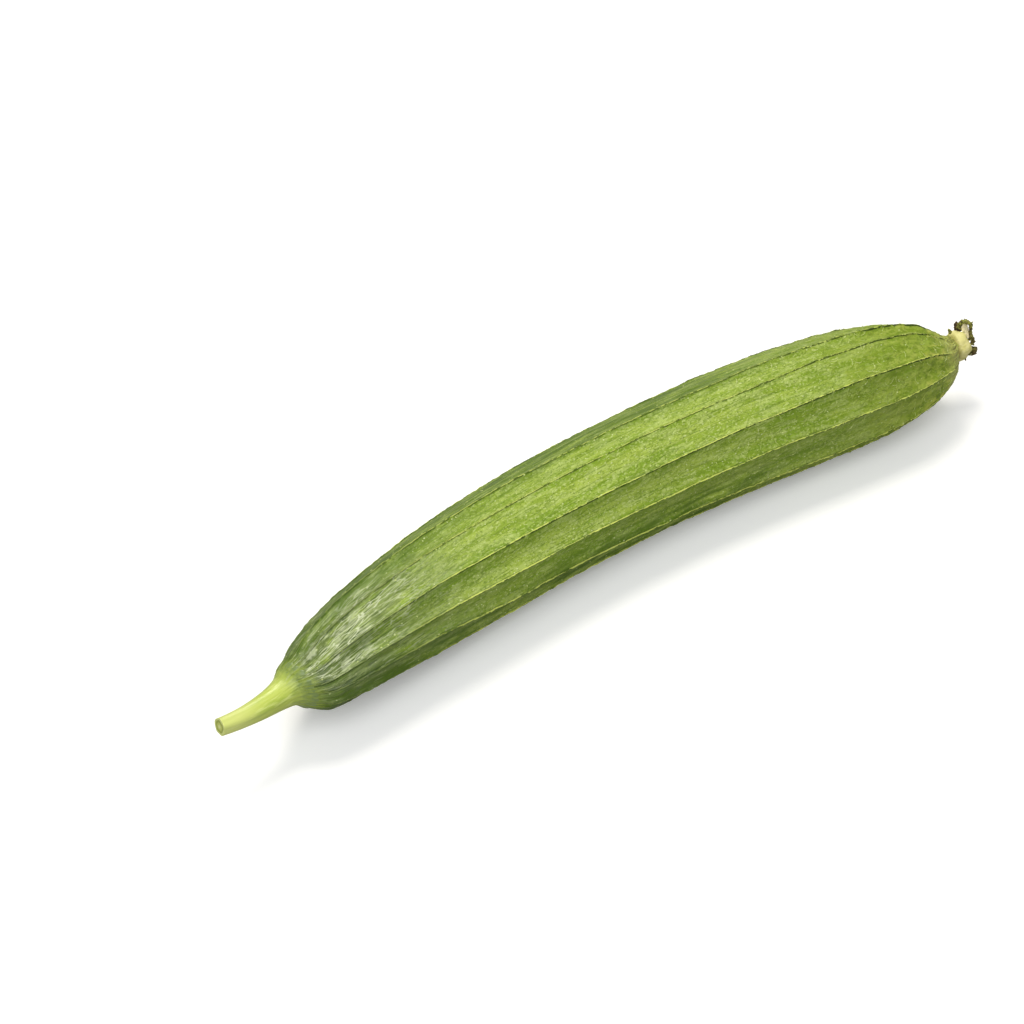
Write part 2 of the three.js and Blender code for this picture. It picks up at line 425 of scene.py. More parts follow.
class Place(Enum):
    """Which coordinates a pattern on the rind follows."""

    SKIN = "lies on the straightened skin"
    RAYS = "runs in rays towards both ends"


@dataclass(frozen=True)
class Pattern:
    """Random patches of one colour in a finish.

    Attributes:
        colour: The patches' colour.
        along: How long a patch is, in millimetres.
        across: How wide it is, in millimetres, or in degrees where it runs in rays.
        start: The share of the noise where patches begin.
        full: The share of the noise where they are full.
        amount: How strongly they cover what lies under them.
        place: Which coordinates they follow.
        detail: Octaves of finer noise.
    """

    colour: str
    along: float
    across: float
    start: float
    full: float
    amount: float
    place: Place = Place.SKIN
    detail: float = 4.0


# A value, where its effect starts and where it is full.
Limit = tuple[object, float, float]


class Surface(Wiring):
    """A finish in the making: its material, its node tree and the running colour."""

    def __init__(self, name: str, base: str) -> None:
        """Starts a material.

        Args:
            name: What the finish is and how the surface was made.
            base: Its ground colour.
        """
        self.material = bpy.data.materials.new(name)
        self.material.use_nodes = True
        self.tree = self.material.node_tree
        self.tree.nodes.clear()
        self.colour: object = linear(base)

    def read(self, label: str, socket: str = "Fac") -> NodeSocket:
        """What the mesh tells under a label: a value, or a place from the Vector socket."""
        return self.add(ATTRIBUTE, attribute_name=label).outputs[socket]

    def cloud(self, place: object, along: float, across: float, detail: float) -> Node:
        """Makes drawn-out noise.

        Args:
            place: A place in millimetres.
            along: How long its patches are.
            across: How wide they are.
            detail: Octaves of finer noise.

        Returns:
            The noise.
        """
        size = (1 / along, 1 / across, 1 / across)
        scaled = self.add(VECTOR_MATH, place, size, operation="MULTIPLY")
        return self.add(NOISE, scaled, named={"Scale": 1.0, "Detail": detail, "Roughness": 0.6})

    def within(self, *limits: Limit, amount: float = 1.0) -> object:
        """Makes a mask that is full where every limit is.

        Args:
            *limits: Each a value with where its effect starts and where it is full.
            amount: How much the mask reaches.

        Returns:
            The mask.
        """
        mask: object = amount
        for value, start, full in limits:
            eased = self.add(MAP_RANGE, value, start, full, interpolation_type="SMOOTHSTEP")
            mask = self.add(MATH, eased, mask, operation="MULTIPLY")
        return mask

    def cover(self, colour: str, *limits: Limit, amount: float = 1.0) -> None:
        """Lays a colour over the running one where every limit lets it."""
        mask = self.within(*limits, amount=amount)
        self.colour = self.add(MIX, mask, self.colour, linear(colour), data_type="RGBA")

    def finish(self, roughness: object, bump: object, depth: float, **shader: object) -> Material:
        """Closes the material.

        Args:
            roughness: A number or a node.
            bump: The node whose value is the fine relief.
            depth: The relief's depth in millimetres.
            **shader: Plain values for further inputs of the shader, with _ for a blank in their names.

        Returns:
            The material.
        """
        relief = self.add("ShaderNodeBump", named={"Height": bump, "Distance": depth * MM, "Strength": 1.0})
        plain = {name.replace("_", " "): value for name, value in shader.items()}
        named = {"Base Color": self.colour, "Roughness": roughness, "Normal": relief, **plain}
        self.add("ShaderNodeOutputMaterial", self.add("ShaderNodeBsdfPrincipled", named=named))
        return self.material


class RindSurface(Surface):
    """The rind's finish in the making, with what its mesh tells.

    turn is the angle round the fruit, and crest how far a place lies past the nearest ridge.
    """

    def __init__(self, name: str, base: str, length: float) -> None:
        """Starts the material and reads the mesh.

        Args:
            name: What the finish is and how the surface was made.
            base: Its ground colour.
            length: The fruit's length.
        """
        super().__init__(name, base)
        self.skin, self.rays = (self.read(label, "Vector") for label in ("skin", "rays"))
        self.crest, self.turn = (self.read(label) for label in ("crest", "turn"))
        self.along = self.add(SEPARATE, self.skin).outputs["X"]
        self.stray = self.add(NOISE, self.skin, named={"Scale": 0.35, "Detail": 2.0}).outputs["Color"]
        self.by_stalk: Limit = (self.along, 95, 12)
        self.by_flower: Limit = (self.along, length - 100, length - 30)
        self.off_flower: Limit = (self.along, length - 15, length - 90)
        self.front: Limit = (self.turn, 30, 48)

    def scatter(self, pattern: Pattern, *limits: Limit) -> None:
        """Lays a pattern's patches over the running colour.

        Args:
            pattern: The pattern.
            *limits: Where they may lie.
        """
        place = self.rays if pattern.place is Place.RAYS else self.skin
        cloud = self.cloud(place, pattern.along, pattern.across, pattern.detail)
        self.cover(pattern.colour, (cloud, pattern.start, pattern.full), *limits, amount=pattern.amount)

    def cells(self, place: NodeSocket, along: float, across: float, stray: float = 2.4) -> NodeSocket:
        """Lays crooked cells over the surface.

        Args:
            place: The places that they follow.
            along: How many there are on a millimetre's length.
            across: How many there are on a millimetre's width, or on a degree's in rays.
            stray: How far their edges stray.

        Returns:
            How far a place is from the nearest edge of a cell.
        """
        bent = self.add(VECTOR_MATH, self.stray, (stray,) * 3, place, operation="MULTIPLY_ADD")
        stretched = self.add(VECTOR_MATH, bent, (along, across, across), operation="MULTIPLY")
        laid = self.add(VORONOI, stretched, named={"Scale": 1.0}, feature="DISTANCE_TO_EDGE")
        return laid.outputs["Distance"]


@dataclass(frozen=True)
class RindFinish:
    """Gourd rind, grown and unwashed.

    To the eye that is a soft waxy sheen, mottled greens under pale fibres, and dark seams by the ridges,
    partly painted shadow.
    """

    length: float
    ground: str = "#89a133"
    swathes: tuple[Pattern, ...] = (
        Pattern("#7c9a25", 75, 6, 0.49, 0.58, 0.75, detail=2),
        Pattern("#a4b84e", 85, 4.5, 0.49, 0.58, 0.75, detail=2),
    )
    body: tuple[Pattern, ...] = (
        Pattern("#aebf69", 9.0, 2.8, 0.49, 0.58, 0.6),
        Pattern("#6f8a22", 6.5, 1.8, 0.54, 0.61, 0.45),
        Pattern("#5d7818", 34, 0.6, 0.61, 0.64, 0.6, detail=1),
        Pattern("#c2d082", 1.3, 0.7, 0.56, 0.63, 0.6, detail=2),
        Pattern("#5c7418", 1.2, 0.7, 0.57, 0.64, 0.55, detail=2),
    )
    flower_end: tuple[Pattern, ...] = (
        Pattern("#788e20", 40, 10, 0.30, 0.50, 0.8, detail=2),
        Pattern("#99aa42", 14, 5, 0.50, 0.60, 0.6),
        Pattern("#667b19", 5, 3, 0.53, 0.60, 0.55),
        Pattern("#a9b652", 4, 2.4, 0.54, 0.60, 0.5),
        Pattern("#5c7116", 2.4, 1.3, 0.57, 0.63, 0.5, detail=3),
    )
    cell_line: str = "#6c8629"
    cell_crown: str = "#aec168"
    stalk_end: tuple[Pattern, ...] = (
        Pattern("#5b6b38", 22, 9, 0.32, 0.52, 0.9, detail=3),
        Pattern("#97a865", 26, 9, 0.47, 0.58, 0.7, Place.RAYS, detail=3),
        Pattern("#3f5222", 11, 1.5, 0.53, 0.58, 0.8, Place.RAYS),
        Pattern("#c3cd9c", 7, 1.5, 0.57, 0.60, 0.6, Place.RAYS),
    )
    crack: str = "#d5dcb6"
    # Grey patches on the lower front of the shoulder, by the stalk.
    bruise: str = "#687653"
    # Painted shade: back darkens the far side over the top and under the belly, shade_side the rind just past
    # the ridges of the front.
    back: str = "#4a6608"
    shade_side: str = "#5f7c1a"
    # seam: dark lines beside the ridges, partly their own colour and partly painted shadow under their raised
    # edges. edge: a pale line on their upper sides, partly pale cork and partly a painted highlight.
    seam: str = "#2f420a"
    edge: str = "#d5df6e"
    scurf: str = "#dbe5a6"
    stalk_tint: str = "#94a646"
    neck_tint: str = "#b4b763"
    neck_blotch: str = "#c3c45c"
    neck_crease: str = "#5f5a22"

    def material(self) -> Material:
        """Builds the material.

        Returns:
            The material.
        """
        s = RindSurface("gourd_rind_waxy", self.ground, self.length)
        self._mottle(s)
        cushions = self._pebble(s)
        self._age_by_stalk(s)
        self._shade(s)
        self._line_ridges(s)
        self._speckle(s)
        self._tint_ends(s)

        # A breath of wax bloom dulls the sheen in patches. The relief is grain and low pebbles.
        bloom = s.within((s.cloud(s.skin, 6, 2.2, 5), 0.35, 0.7), amount=0.16)
        roughness = s.add(MATH, bloom, 0.44, operation="ADD")
        grain = s.add(MATH, s.cloud(s.skin, 1.5, 0.8, 3), s.cloud(s.skin, 4.5, 1.6, 3), operation="ADD")
        grain = s.add(MATH, grain, cushions, operation="ADD")
        return s.finish(roughness, grain, 0.32, Specular_IOR_Level=0.2)

    def _mottle(self, s: RindSurface) -> None:
        """Lays the greens of the body and of the flower's end.

        Args:
            s: The surface.
        """
        for pattern in self.swathes:
            s.scatter(pattern)
        for pattern in self.flower_end:
            s.scatter(pattern, s.by_flower)
        for pattern in self.body:
            s.scatter(pattern, s.off_flower)

    def _pebble(self, s: RindSurface) -> Node:
        """Draws clusters of pebbles about two millimetres long, with pale crowns and dark outlines.

        Args:
            s: The surface.

        Returns:
            How much of a pebble's relief a place has.
        """
        edge = s.cells(s.skin, 0.42, 0.62)
        clusters = s.cloud(s.skin, 16, 7, 3)
        clustered = (clusters, 0.42, 0.56)
        s.cover(self.cell_line, (edge, 0.09, 0.02), clustered, s.off_flower, amount=0.5)
        s.cover(self.cell_crown, (edge, 0.12, 0.3), clustered, s.off_flower, amount=0.35)
        return s.within((edge, 0.0, 0.35), (clusters, 0.4, 0.6), amount=0.55)

    def _age_by_stalk(self, s: RindSurface) -> None:
        """Lays the dark skin by the stalk, with pale blotches and a net of cracks on its lit side.

        Args:
            s: The surface.
        """
        for pattern in self.stalk_end:
            s.scatter(pattern, s.by_stalk)
        lit = ((s.turn, 82, 38), (s.turn, -30, -4))
        pale = (s.cloud(s.skin, 8, 5, 3), 0.50, 0.64)
        s.cover(self.crack, pale, (s.along, 42, 14), (s.along, 3, 9), *lit, amount=0.5)
        # Grey patches on the lower front of the shoulder, near the stalk.
        grey = (s.cloud(s.skin, 11, 6, 3), 0.54, 0.62)
        s.cover(self.bruise, grey, (s.along, 36, 18), (s.turn, 20, 40), amount=0.7)
        net = s.cells(s.rays, 0.13, 0.29)
        cracked = (s.cloud(s.rays, 20, 9, 3), 0.44, 0.56)
        s.cover(self.crack, (net, 0.10, 0.03), cracked, (s.along, 75, 22), *lit, amount=0.85)

    def _shade(self, s: RindSurface) -> None:
        """Paints shade on the far side and the belly, and on the rind just past the ridges of the lower
        front.

        Args:
            s: The surface.
        """
        swing = s.add(MATH, s.add(MATH, s.turn, 40.0, operation="SUBTRACT"), 180.0, -180.0, operation="WRAP")
        away = s.add(MATH, swing, operation="ABSOLUTE")
        # Painted shade on the far side, over the top and under the belly, with a mottled edge.
        mottle = (s.cloud(s.skin, 20, 3, 4), 0.75, 0.35)
        short_of_flower = (s.along, self.length - 50, self.length - 130)
        s.cover(self.back, (away, 28, 62), mottle, short_of_flower, amount=0.9)
        wander = (s.cloud(s.skin, 14, 3, 3), 0.25, 0.7)
        past_ridge = ((s.crest, 0, 0.3), (s.crest, 4.6, 0.4), wander, s.front)
        s.cover(self.shade_side, *past_ridge, amount=0.35)
        s.cover(self.shade_side, *past_ridge, (s.along, self.length - 60, self.length - 180), amount=0.4)

    def _line_ridges(self, s: RindSurface) -> None:
        """Draws a pale line on the upper side of each ridge, partly a painted highlight, and a dark seam on
        either side, partly painted shadow and heaviest below the ridge, all broken into dashes.

        Args:
            s: The surface.
        """
        dashes = s.cloud(s.skin, 3.0, 1.6, 3)
        past = ((s.crest, 0.06, 0.16), (s.crest, 0.6, 0.38))
        # Painted shadow, partly the ridge's own dark line: a dark seam just below each ridge, heavier by the
        # flower and on the front.
        s.cover(self.seam, *past, (dashes, 0.40, 0.48), amount=0.62)
        s.cover(self.seam, *past, (dashes, 0.42, 0.48), s.by_flower, amount=0.9)
        s.cover(self.seam, *past, (dashes, 0.36, 0.5), s.front, amount=0.75)
        before = ((s.crest, -0.22, -0.32), (s.crest, -0.6, -0.44))
        s.cover(self.seam, *before, (dashes, 0.6, 0.5), amount=0.6)
        # Painted highlight, partly pale cork: a pale line on the upper side of each ridge.
        on_ridge = ((s.crest, 0.1, 0), (s.crest, -0.42, -0.2))
        broken_up = (s.cloud(s.skin, 7, 3, 4), 0.4, 0.52)
        s.cover(self.edge, *on_ridge, broken_up, (s.along, 25, 80), amount=0.85)

    def _speckle(self, s: RindSurface) -> None:
        """Dots corky specks on some of the cells of a fine pattern.

        Args:
            s: The surface.
        """
        fine = s.add(VECTOR_MATH, s.skin, (0.45, 0.7, 0.7), operation="MULTIPLY")
        cells = s.add(VORONOI, fine, named={"Scale": 1.0})
        lot = s.add(SEPARATE, cells.outputs["Color"]).outputs["X"]
        s.cover(self.scurf, (cells.outputs["Distance"], 0.2, 0.1), (lot, 0.78, 0.84), amount=0.7)

    def _tint_ends(self, s: RindSurface) -> None:
        """Runs the stalk's colour over the shoulder in tongues, and the knob's over the other end.

        Args:
            s: The surface.
        """
        length = self.length
        tongues = s.add(MATH, s.cloud(s.rays, 14, 4, 4), 14.0, s.along, operation="MULTIPLY_ADD")
        s.cover(self.stalk_tint, (tongues, 13.5, 8.5), amount=0.75)
        creases = s.add(MATH, s.cloud(s.rays, 10, 10, 3), -14.0, s.along, operation="MULTIPLY_ADD")
        s.cover(self.neck_tint, (creases, length - 23, length - 12), amount=0.8)
        by_ridge = (s.add(MATH, s.crest, operation="ABSOLUTE"), 3.2, 1.0)
        ripe = (s.cloud(s.skin, 6, 2.2, 3), 0.52, 0.6)
        s.cover(self.neck_blotch, ripe, by_ridge, (s.along, length - 34, length - 16), amount=0.6)
        folds = (s.cloud(s.rays, 8, 3.4, 3), 0.53, 0.58)
        s.cover(self.neck_crease, (creases, length - 17, length - 11), folds, amount=0.8)


@dataclass(frozen=True)
class CrestFinish:
    """Cork, grown on a ridge and rubbed by handling.

    To the eye that is dull, dark green where it is whole and a pale flash where it is worn. Towards the
    stalk a ridge stays dull, and towards the flower it is nearly black in places.
    """

    length: float
    whole: str = "#566b1c"
    worn: str = "#cdd86e"
    by_stalk: str = "#6b7b42"
    by_flower: str = "#3e5012"

    def material(self) -> Material:
        """Builds the material.

        Returns:
            The material.
        """
        s = Surface("ridge_edge_corky", self.whole)
        place = s.read("skin", "Vector")
        along = s.add(SEPARATE, place).outputs["X"]
        s.cover(self.worn, (s.cloud(place, 3.2, 4, 3), 0.43, 0.49), amount=0.95)
        s.cover(self.by_stalk, (along, 85, 30), amount=0.85)
        ahead = (along, self.length - 130, self.length - 70)
        s.cover(self.by_flower, ahead, (s.cloud(place, 1.5, 3, 2), 0.47, 0.51), amount=0.95)
        return s.finish(0.6, s.cloud(place, 0.8, 0.8, 2), 0.05, Specular_IOR_Level=0.3)


@dataclass(frozen=True)
class FleckFinish:
    """Dry cork cells and dead hairs.

    To the eye they are matt, pale straw to yellow-green, each in its own tone.
    """

    green: str = "#a5b94e"
    straw: str = "#ccd68c"

    def material(self) -> Material:
        """Builds the material.

        Returns:
            The material.
        """
        s = Surface("rind_flecks_dry", self.green)
        tone = s.read("tone")
        place = s.add("ShaderNodeTexCoord").outputs["Object"]
        s.cover(self.straw, (tone, 0.2, 0.9))
        return s.finish(0.7, s.cloud(place, 0.3 * MM, 0.3 * MM, 2), 0.03, Specular_IOR_Level=0.25)


@dataclass(frozen=True)
class StalkFinish:
    """A fresh stalk, cut with a knife.

    To the eye it is smooth and juicy, its fibres faint lengthwise lines, with a ring of vessels on the cut.
    """

    ground: str = "#b9c853"
    pale: str = "#d3de83"
    green: str = "#9bb141"
    cut_end: str = "#d8dd86"
    foot: str = "#94a646"
    shoulder: str = "#6e8246"
    rim: str = "#d3db84"
    pith: str = "#bdc757"
    heart: str = "#e0e39a"
    vessel: str = "#919d2c"

    def material(self) -> Material:
        """Builds the material.

        Returns:
            The material.
        """
        s = Surface("stalk_fresh_cut", self.ground)
        place = s.read("skin", "Vector")
        face = s.read("face")
        height = s.add(SEPARATE, place).outputs["X"]
        s.cover(self.green, (s.cloud(place, 30, 3.0, 3), 0.45, 0.65), amount=0.7)
        s.cover(self.pale, (s.cloud(place, 26, 1.4, 4), 0.50, 0.66), amount=0.75)
        s.cover(self.cut_end, (height, 10, 26), amount=0.6)

        # Heights made ragged by noise, so that the colours meet in tongues.
        reached = s.add(MATH, s.cloud(place, 9, 1.5, 4), -6.0, height, operation="MULTIPLY_ADD")
        s.cover(self.foot, (reached, 3.0, -5.0))
        streaks = s.add(MATH, s.cloud(place, 12, 1.1, 4), -9.0, height, operation="MULTIPLY_ADD")
        s.cover(self.shoulder, (streaks, -3.6, -8.0), amount=0.95)

        # The cut face, from its rim, 0, to its middle, 1.
        ring = s.add(MATH, s.cloud(place, 3, 1.3, 2), 0.3, face, operation="MULTIPLY_ADD")
        on_face = (face, 0.02, 0.08)
        s.cover(self.pith, on_face)
        s.cover(self.rim, on_face, (ring, 0.45, 0.36), amount=0.9)
        s.cover(self.vessel, (ring, 0.38, 0.48), (ring, 0.72, 0.58), amount=0.85)
        s.cover(self.heart, (ring, 0.8, 1.05), amount=0.8)
        fibres = s.cloud(place, 20, 0.7, 3)
        return s.finish(0.38, fibres, 0.1, Specular_IOR_Level=0.5, Coat_Weight=0.1, Coat_Roughness=0.3)


@dataclass(frozen=True)
class CupFinish:
    """A flower's fleshy cup, grown on the fruit.

    To the eye it is smooth and cream, greener in its creases and brown at the scar in its dish.
    """

    ground: str = "#dad387"
    shade: str = "#b9b457"
    blush: str = "#e8e1a6"
    neck: str = "#a09a4c"
    scar: str = "#8d7a3c"

    def material(self) -> Material:
        """Builds the material.

        Returns:
            The material.
        """
        s = Surface("flower_cup_fleshy", self.ground)
        place = s.read("skin", "Vector")
        face = s.read("face")
        height = s.add(SEPARATE, place).outputs["X"]
        s.cover(self.shade, (s.cloud(place, 7, 2.2, 4), 0.5, 0.7), amount=0.6)
        s.cover(self.blush, (s.cloud(place, 4, 3, 3), 0.5, 0.68), amount=0.6)
        creased = s.add(MATH, s.cloud(place, 3.5, 1.4, 3), -2.6, height, operation="MULTIPLY_ADD")
        s.cover(self.neck, (creased, 0.2, -1.6), amount=0.8)
        s.cover(self.scar, (face, 0.25, 0.6), (s.cloud(place, 1.6, 1.2, 3), 0.35, 0.6), amount=0.85)
        return s.finish(0.5, s.cloud(place, 2.5, 0.9, 4), 0.1, Specular_IOR_Level=0.4)


@dataclass(frozen=True)
class WitheredFinish:
    """Petals that dried on the fruit.

    To the eye they are leathery brown, with olive and cream left where they are thickest.
    """

    ground: str = "#4d3c1c"
    olive: str = "#8e9040"
    cream: str = "#eee2b2"
    dark: str = "#231a0c"

    def material(self) -> Material:
        """Builds the material.

        Returns:
            The material.
        """
        s = Surface("petal_dried", self.ground)
        place = s.read("skin", "Vector")
        fresh = s.read("fresh")
        s.cover(self.olive, (fresh, 0.1, 0.5), (s.cloud(place, 2.2, 1.1, 4), 0.34, 0.52))
        s.cover(self.cream, (fresh, 0.75, 1), (s.cloud(place, 1.5, 0.8, 3), 0.34, 0.5), amount=0.95)
        s.cover(self.dark, (s.cloud(place, 1.7, 1.0, 4), 0.52, 0.6), (fresh, 1.1, 0.8), amount=0.9)
        return s.finish(0.72, s.cloud(place, 0.9, 0.4, 4), 0.15, Specular_IOR_Level=0.3)


# -------- the fruit


@dataclass(frozen=True)
class Seat:
    """Where a piece starts on one end of the fruit, and the direction away from the fruit."""

    point: Vector
    outward: Vector


@dataclass(frozen=True)
class Ridge:
    """One ridge of the fruit.

    Attributes:
        at: Its place round the fruit at mid-length, in degrees from the top towards -Y.
        turn: How far it turns from the stalk's end to the blossom end, in degrees.
        depth: How deep the valley after it is, as a share of the full depth.
    """

    at: float
    turn: float
    depth: float = 1.0


@dataclass(frozen=True)
class Shift:
    """How the section is drawn off the centreline near one end.

    Attributes:
        end: 0 at the stalk and 1 at the flower.
        side: How far it is drawn sideways at the very end.
        up: How far it is drawn up there.
        reach: The length over which that fades out.
    """

    end: int
    side: float
    up: float
    reach: float


@dataclass(frozen=True)
class Relief:
    """Unevenness of the rind that shows in its shape.

    Attributes:
        label: The name of the recipe's input for its height.
        along: How long its lumps are.
        across: How wide they are, in millimetres, or in degrees where they run in rays.
        height: How far they stand in or out at most.
        place: Which coordinates they follow.
        span: Where along the fruit it begins and where it is full, or nothing for all over.
    """

    label: str
    along: float
    across: float
    height: float
    place: Place = Place.SKIN
    span: tuple[float, float] | None = None


@dataclass(frozen=True)
class Column:
    """A column of the rind's grid: the ridge before it, its share of the way over the gap, and its angle."""

    index: Node
    way: Node
    gap: Node
    swing: Node


@dataclass
class Fruit:
    """The ridged fruit: a profile swept along an arc, sunk into a valley between every two ridges."""

    arc: Arc = Arc()
    profile: tuple[tuple[float, float], ...] = (
        (0, 6.1), (0.012, 9.9), (0.045, 14.8), (0.12, 18.8), (0.25, 22.2), (0.4, 23.5), (0.55, 24.2),
        (0.7, 25), (0.8, 24.8), (0.88, 23.1), (0.94, 18.3), (0.984, 9.1), (1, 3.8),
    )
    ridges: tuple[Ridge, ...] = (
        Ridge(-8, 17), Ridge(14, 9, 0.5), Ridge(46, 9), Ridge(75, 15), Ridge(105, 36),
        Ridge(133, 26), Ridge(161, 14), Ridge(199, 12), Ridge(246, 12), Ridge(295, 14),
    )
    shifts: tuple[Shift, ...] = (
        Shift(0, -2.1, 0, 40), Shift(0, 2.8, 1, 10), Shift(1, -2.8, 0, 36), Shift(1, 5.4, 1.1, 9),
    )
    valley_depth: float = 2.3
    valley_build_up: float = 26.0
    ridge_reach: float = 18.0
    ridge_sway: float = -11.0
    ridge_wander: float = 1.1
    crest_height: float = 0.26
    crest_width: float = 0.45
    rings: int = 430
    columns_per_ridge: int = 22
    column_bias: float = 0.6
    seed: int = 7
    reliefs: tuple[Relief, ...] = (
        Relief("Broad swell", 34, 16, 0.35),
        Relief("Flutes", 70, 5.5, 0.22),
        Relief("Dimples", 5.5, 3.4, 0.16),
        Relief("Stem wrinkles", 26, 5.5, 0.36, Place.RAYS, (62, 6)),
        Relief("Neck folds", 16, 12, 0.75, Place.RAYS, (-26, -4)),
        Relief("Leather", 5.5, 4, 0.46, Place.SKIN, (-90, -30)),
    )
    seam: float = 0.3
    offset: Vector = field(default_factory=Vector)

    @property
    def length(self) -> float:
        """The fruit's length along its centreline."""
        return self.arc.length

    def shift_at(self, along: float) -> tuple[float, float]:
        """Finds how far the section is drawn off the centreline.

        Args:
            along: The distance along the fruit.

        Returns:
            How far sideways and how far up.
        """
        side = up = 0.0
        for shift in self.shifts:
            share = max(0.0, 1 - abs(shift.end * self.length - along) / shift.reach) ** 2
            side += shift.side * share
            up += shift.up * share
        return side, up

    def axis_point(self, along: float) -> Vector:
        """Finds the middle of the section.

        Args:
            along: The distance along the fruit.

        Returns:
            The place in the arc's frame.
        """
        share = min(max(along / self.length, 0.0), 1.0)
        side, up = frame_on(self.arc.heading(share))
        sideways, upwards = self.shift_at(along)
        return self.arc.point(share) + side * sideways + up * upwards

    def radius_at(self, along: float) -> float:
        """The ridges' radius at a distance along the fruit."""
        stations = np.array(rounded([(share * self.length, radius) for share, radius in self.profile], 600))
        return float(np.interp(along, stations[:, 0], stations[:, 1]))

    def seat(self, end: int) -> Seat:
        """Where a piece sits on an end, a seam's width off it, in the frame of the arc."""
        outward = self.arc.heading(end) * (1 if end else -1)
        return Seat(self.axis_point(end * self.length) + outward * self.seam, outward)

    def skirt(
        self, end: int, lifts: Sequence[float], reach: float
    ) -> tuple[list[tuple[float, float]], list[tuple[Vector, Vector]]]:
        """Lays a skirt over one end, by which what grows there runs into the rind.

        Args:
            end: 0 at the stalk and 1 at the flower.
            lifts: How far its rings stand off the rind, from the seat backwards.
            reach: How far it runs over the fruit.

        Returns:
            The height over the seat and the radius of each ring, and its middle and the way it faces.
            They come from inside the fruit outwards, and the first two close the skirt.
        """
        backs = np.linspace(reach, 0.0, len(lifts) + 1)[:-1]
        alongs = [self.length - back if end else back for back in backs]
        radii = [self.radius_at(along) + lift for along, lift in zip(alongs, reversed(lifts))]
        root = backs[0] + SKIRT_ROOT_BACK
        rings = [(root, 0.0), (root, radii[0] - SKIRT_ROOT_INSET), *zip(backs, radii)]
        outward = self.seat(end).outward
        middles = (self.axis_point(self.length - back if end else back) for back, _ in rings)
        return [(-back - self.seam, radius) for back, radius in rings], [(spot, outward) for spot in middles]

    def _lines(self, recipe: Recipe, share: object) -> list[Node]:
        """Makes each ridge's angle, and the first one's again a turn further on.

        Args:
            recipe: The recipe.
            share: The share of the fruit's length.

        Returns:
            The angles.
        """
        half = recipe.add(MATH, share, 0.5, operation="SUBTRACT")
        lines = (*self.ridges, replace(self.ridges[0], at=self.ridges[0].at + 360))
        return [recipe.add(MATH, half, line.turn, float(line.at), operation="MULTIPLY_ADD") for line in lines]

    def _pick(self, recipe: Recipe, index: object, choices: Sequence[object]) -> Node:
        """Picks one of ten choices, one for each ridge.

        Args:
            recipe: The recipe.
            index: The number of the choice.
            choices: The choices, nodes or numbers.

        Returns:
            The one picked.
        """
        labels = {str(number): choice for number, choice in enumerate(choices)}
        switch = recipe.add("GeometryNodeIndexSwitch", data_type="FLOAT")
        while len(switch.index_switch_items) < len(choices):
            switch.index_switch_items.new()
        return fill(switch, index, named=labels)

    def _recipe(self, finish: Material) -> Recipe:
        """Starts the fruit's recipe with its named sizes.

        Args:
            finish: The rind's material.

        Returns:
            The recipe.
        """
        sizes = {
            "Rings": self.rings,
            "Columns": self.columns_per_ridge * len(self.ridges) + 1,
            "Length": self.length,
            "Arc radius": self.arc.radius,
            "Half angle": self.arc.half_angle,
            "Valley depth": self.valley_depth,
            "Valley build-up": self.valley_build_up,
            "Ridge reach": self.ridge_reach,
            "Ridge sway": self.ridge_sway,
            "Ridge wander": self.ridge_wander,
            "Crest height": self.crest_height,
            "Crest width": self.crest_width,
            "Seed": float(self.seed),
        }
        sizes.update({relief.label: relief.height for relief in self.reliefs})
        return Recipe("ridged_fruit", sizes, finish)

    def _unevenness(self, recipe: Recipe, along: object, places: Mapping[Place, object]) -> Node:
        """Sums up the reliefs.

        Args:
            recipe: The recipe.
            along: The distance along the fruit.
            places: The coordinates that a relief may follow.

        Returns:
            How far the rind stands in or out.
        """
        make, given = recipe.add, recipe.given
        total = make("ShaderNodeValue")
        for relief in self.reliefs:
            size = (1 / relief.along, 1 / relief.across, 1 / relief.across)
            spot = make(VECTOR_MATH, places[relief.place], size, operation="MULTIPLY")
            grain = {"Scale": 1.0, "Detail": 3.0}
            lump = make(NOISE, spot, given["Seed"], noise_dimensions="4D", named=grain)
            swing = make(MAP_RANGE, lump, NOISE_LOW, NOISE_HIGH, -1.0, 1.0)
            if relief.span:
                edges = (float(edge if edge >= 0 else self.length + edge) for edge in relief.span)
                zone = make(MAP_RANGE, along, *edges, 0.0, 1.0, interpolation_type="SMOOTHSTEP")
                swing = make(MATH, swing, zone, operation="MULTIPLY")
            total = make(MATH, swing, given[relief.label], total, operation="MULTIPLY_ADD")
        return total

    def _column(
        self, recipe: Recipe, across: object, along: object, share: object, centred: object
    ) -> Column:
        """Places a column of the grid between two ridges, with the columns crowded at the ridges.

        Args:
            recipe: The recipe.
            across: The column's place on the grid, from 0.5 to -0.5.
            along: The distance along the fruit.
            share: The share of its length.
            centred: That share from -1 to 1.

        Returns:
            The column.
        """
        make, given = recipe.add, recipe.given
        count = float(len(self.ridges))
        step = make(MATH, 0.5, across, operation="SUBTRACT", use_clamp=True)
        step = make(MATH, step, count, operation="MULTIPLY")
        before = make(MATH, make(MATH, step, operation="FLOOR"), count - 1, operation="MINIMUM")
        even = make(MATH, step, before, operation="SUBTRACT")
        wave = make(MATH, make(MATH, even, math.tau, operation="MULTIPLY"), operation="SINE")
        way = make(MATH, wave, -self.column_bias / math.tau, even, operation="MULTIPLY_ADD")
        lines = self._lines(recipe, share)
        index = make("FunctionNodeFloatToInt", before)
        first = self._pick(recipe, index, lines[:-1])
        gap = make(MATH, self._pick(recipe, index, lines[1:]), first, operation="SUBTRACT")
        degrees = make(MATH, way, gap, first, operation="MULTIPLY_ADD")
        squared = make(MATH, centred, 2.0, operation="POWER")
        swing = make(MATH, squared, given["Ridge sway"], degrees, operation="MULTIPLY_ADD")

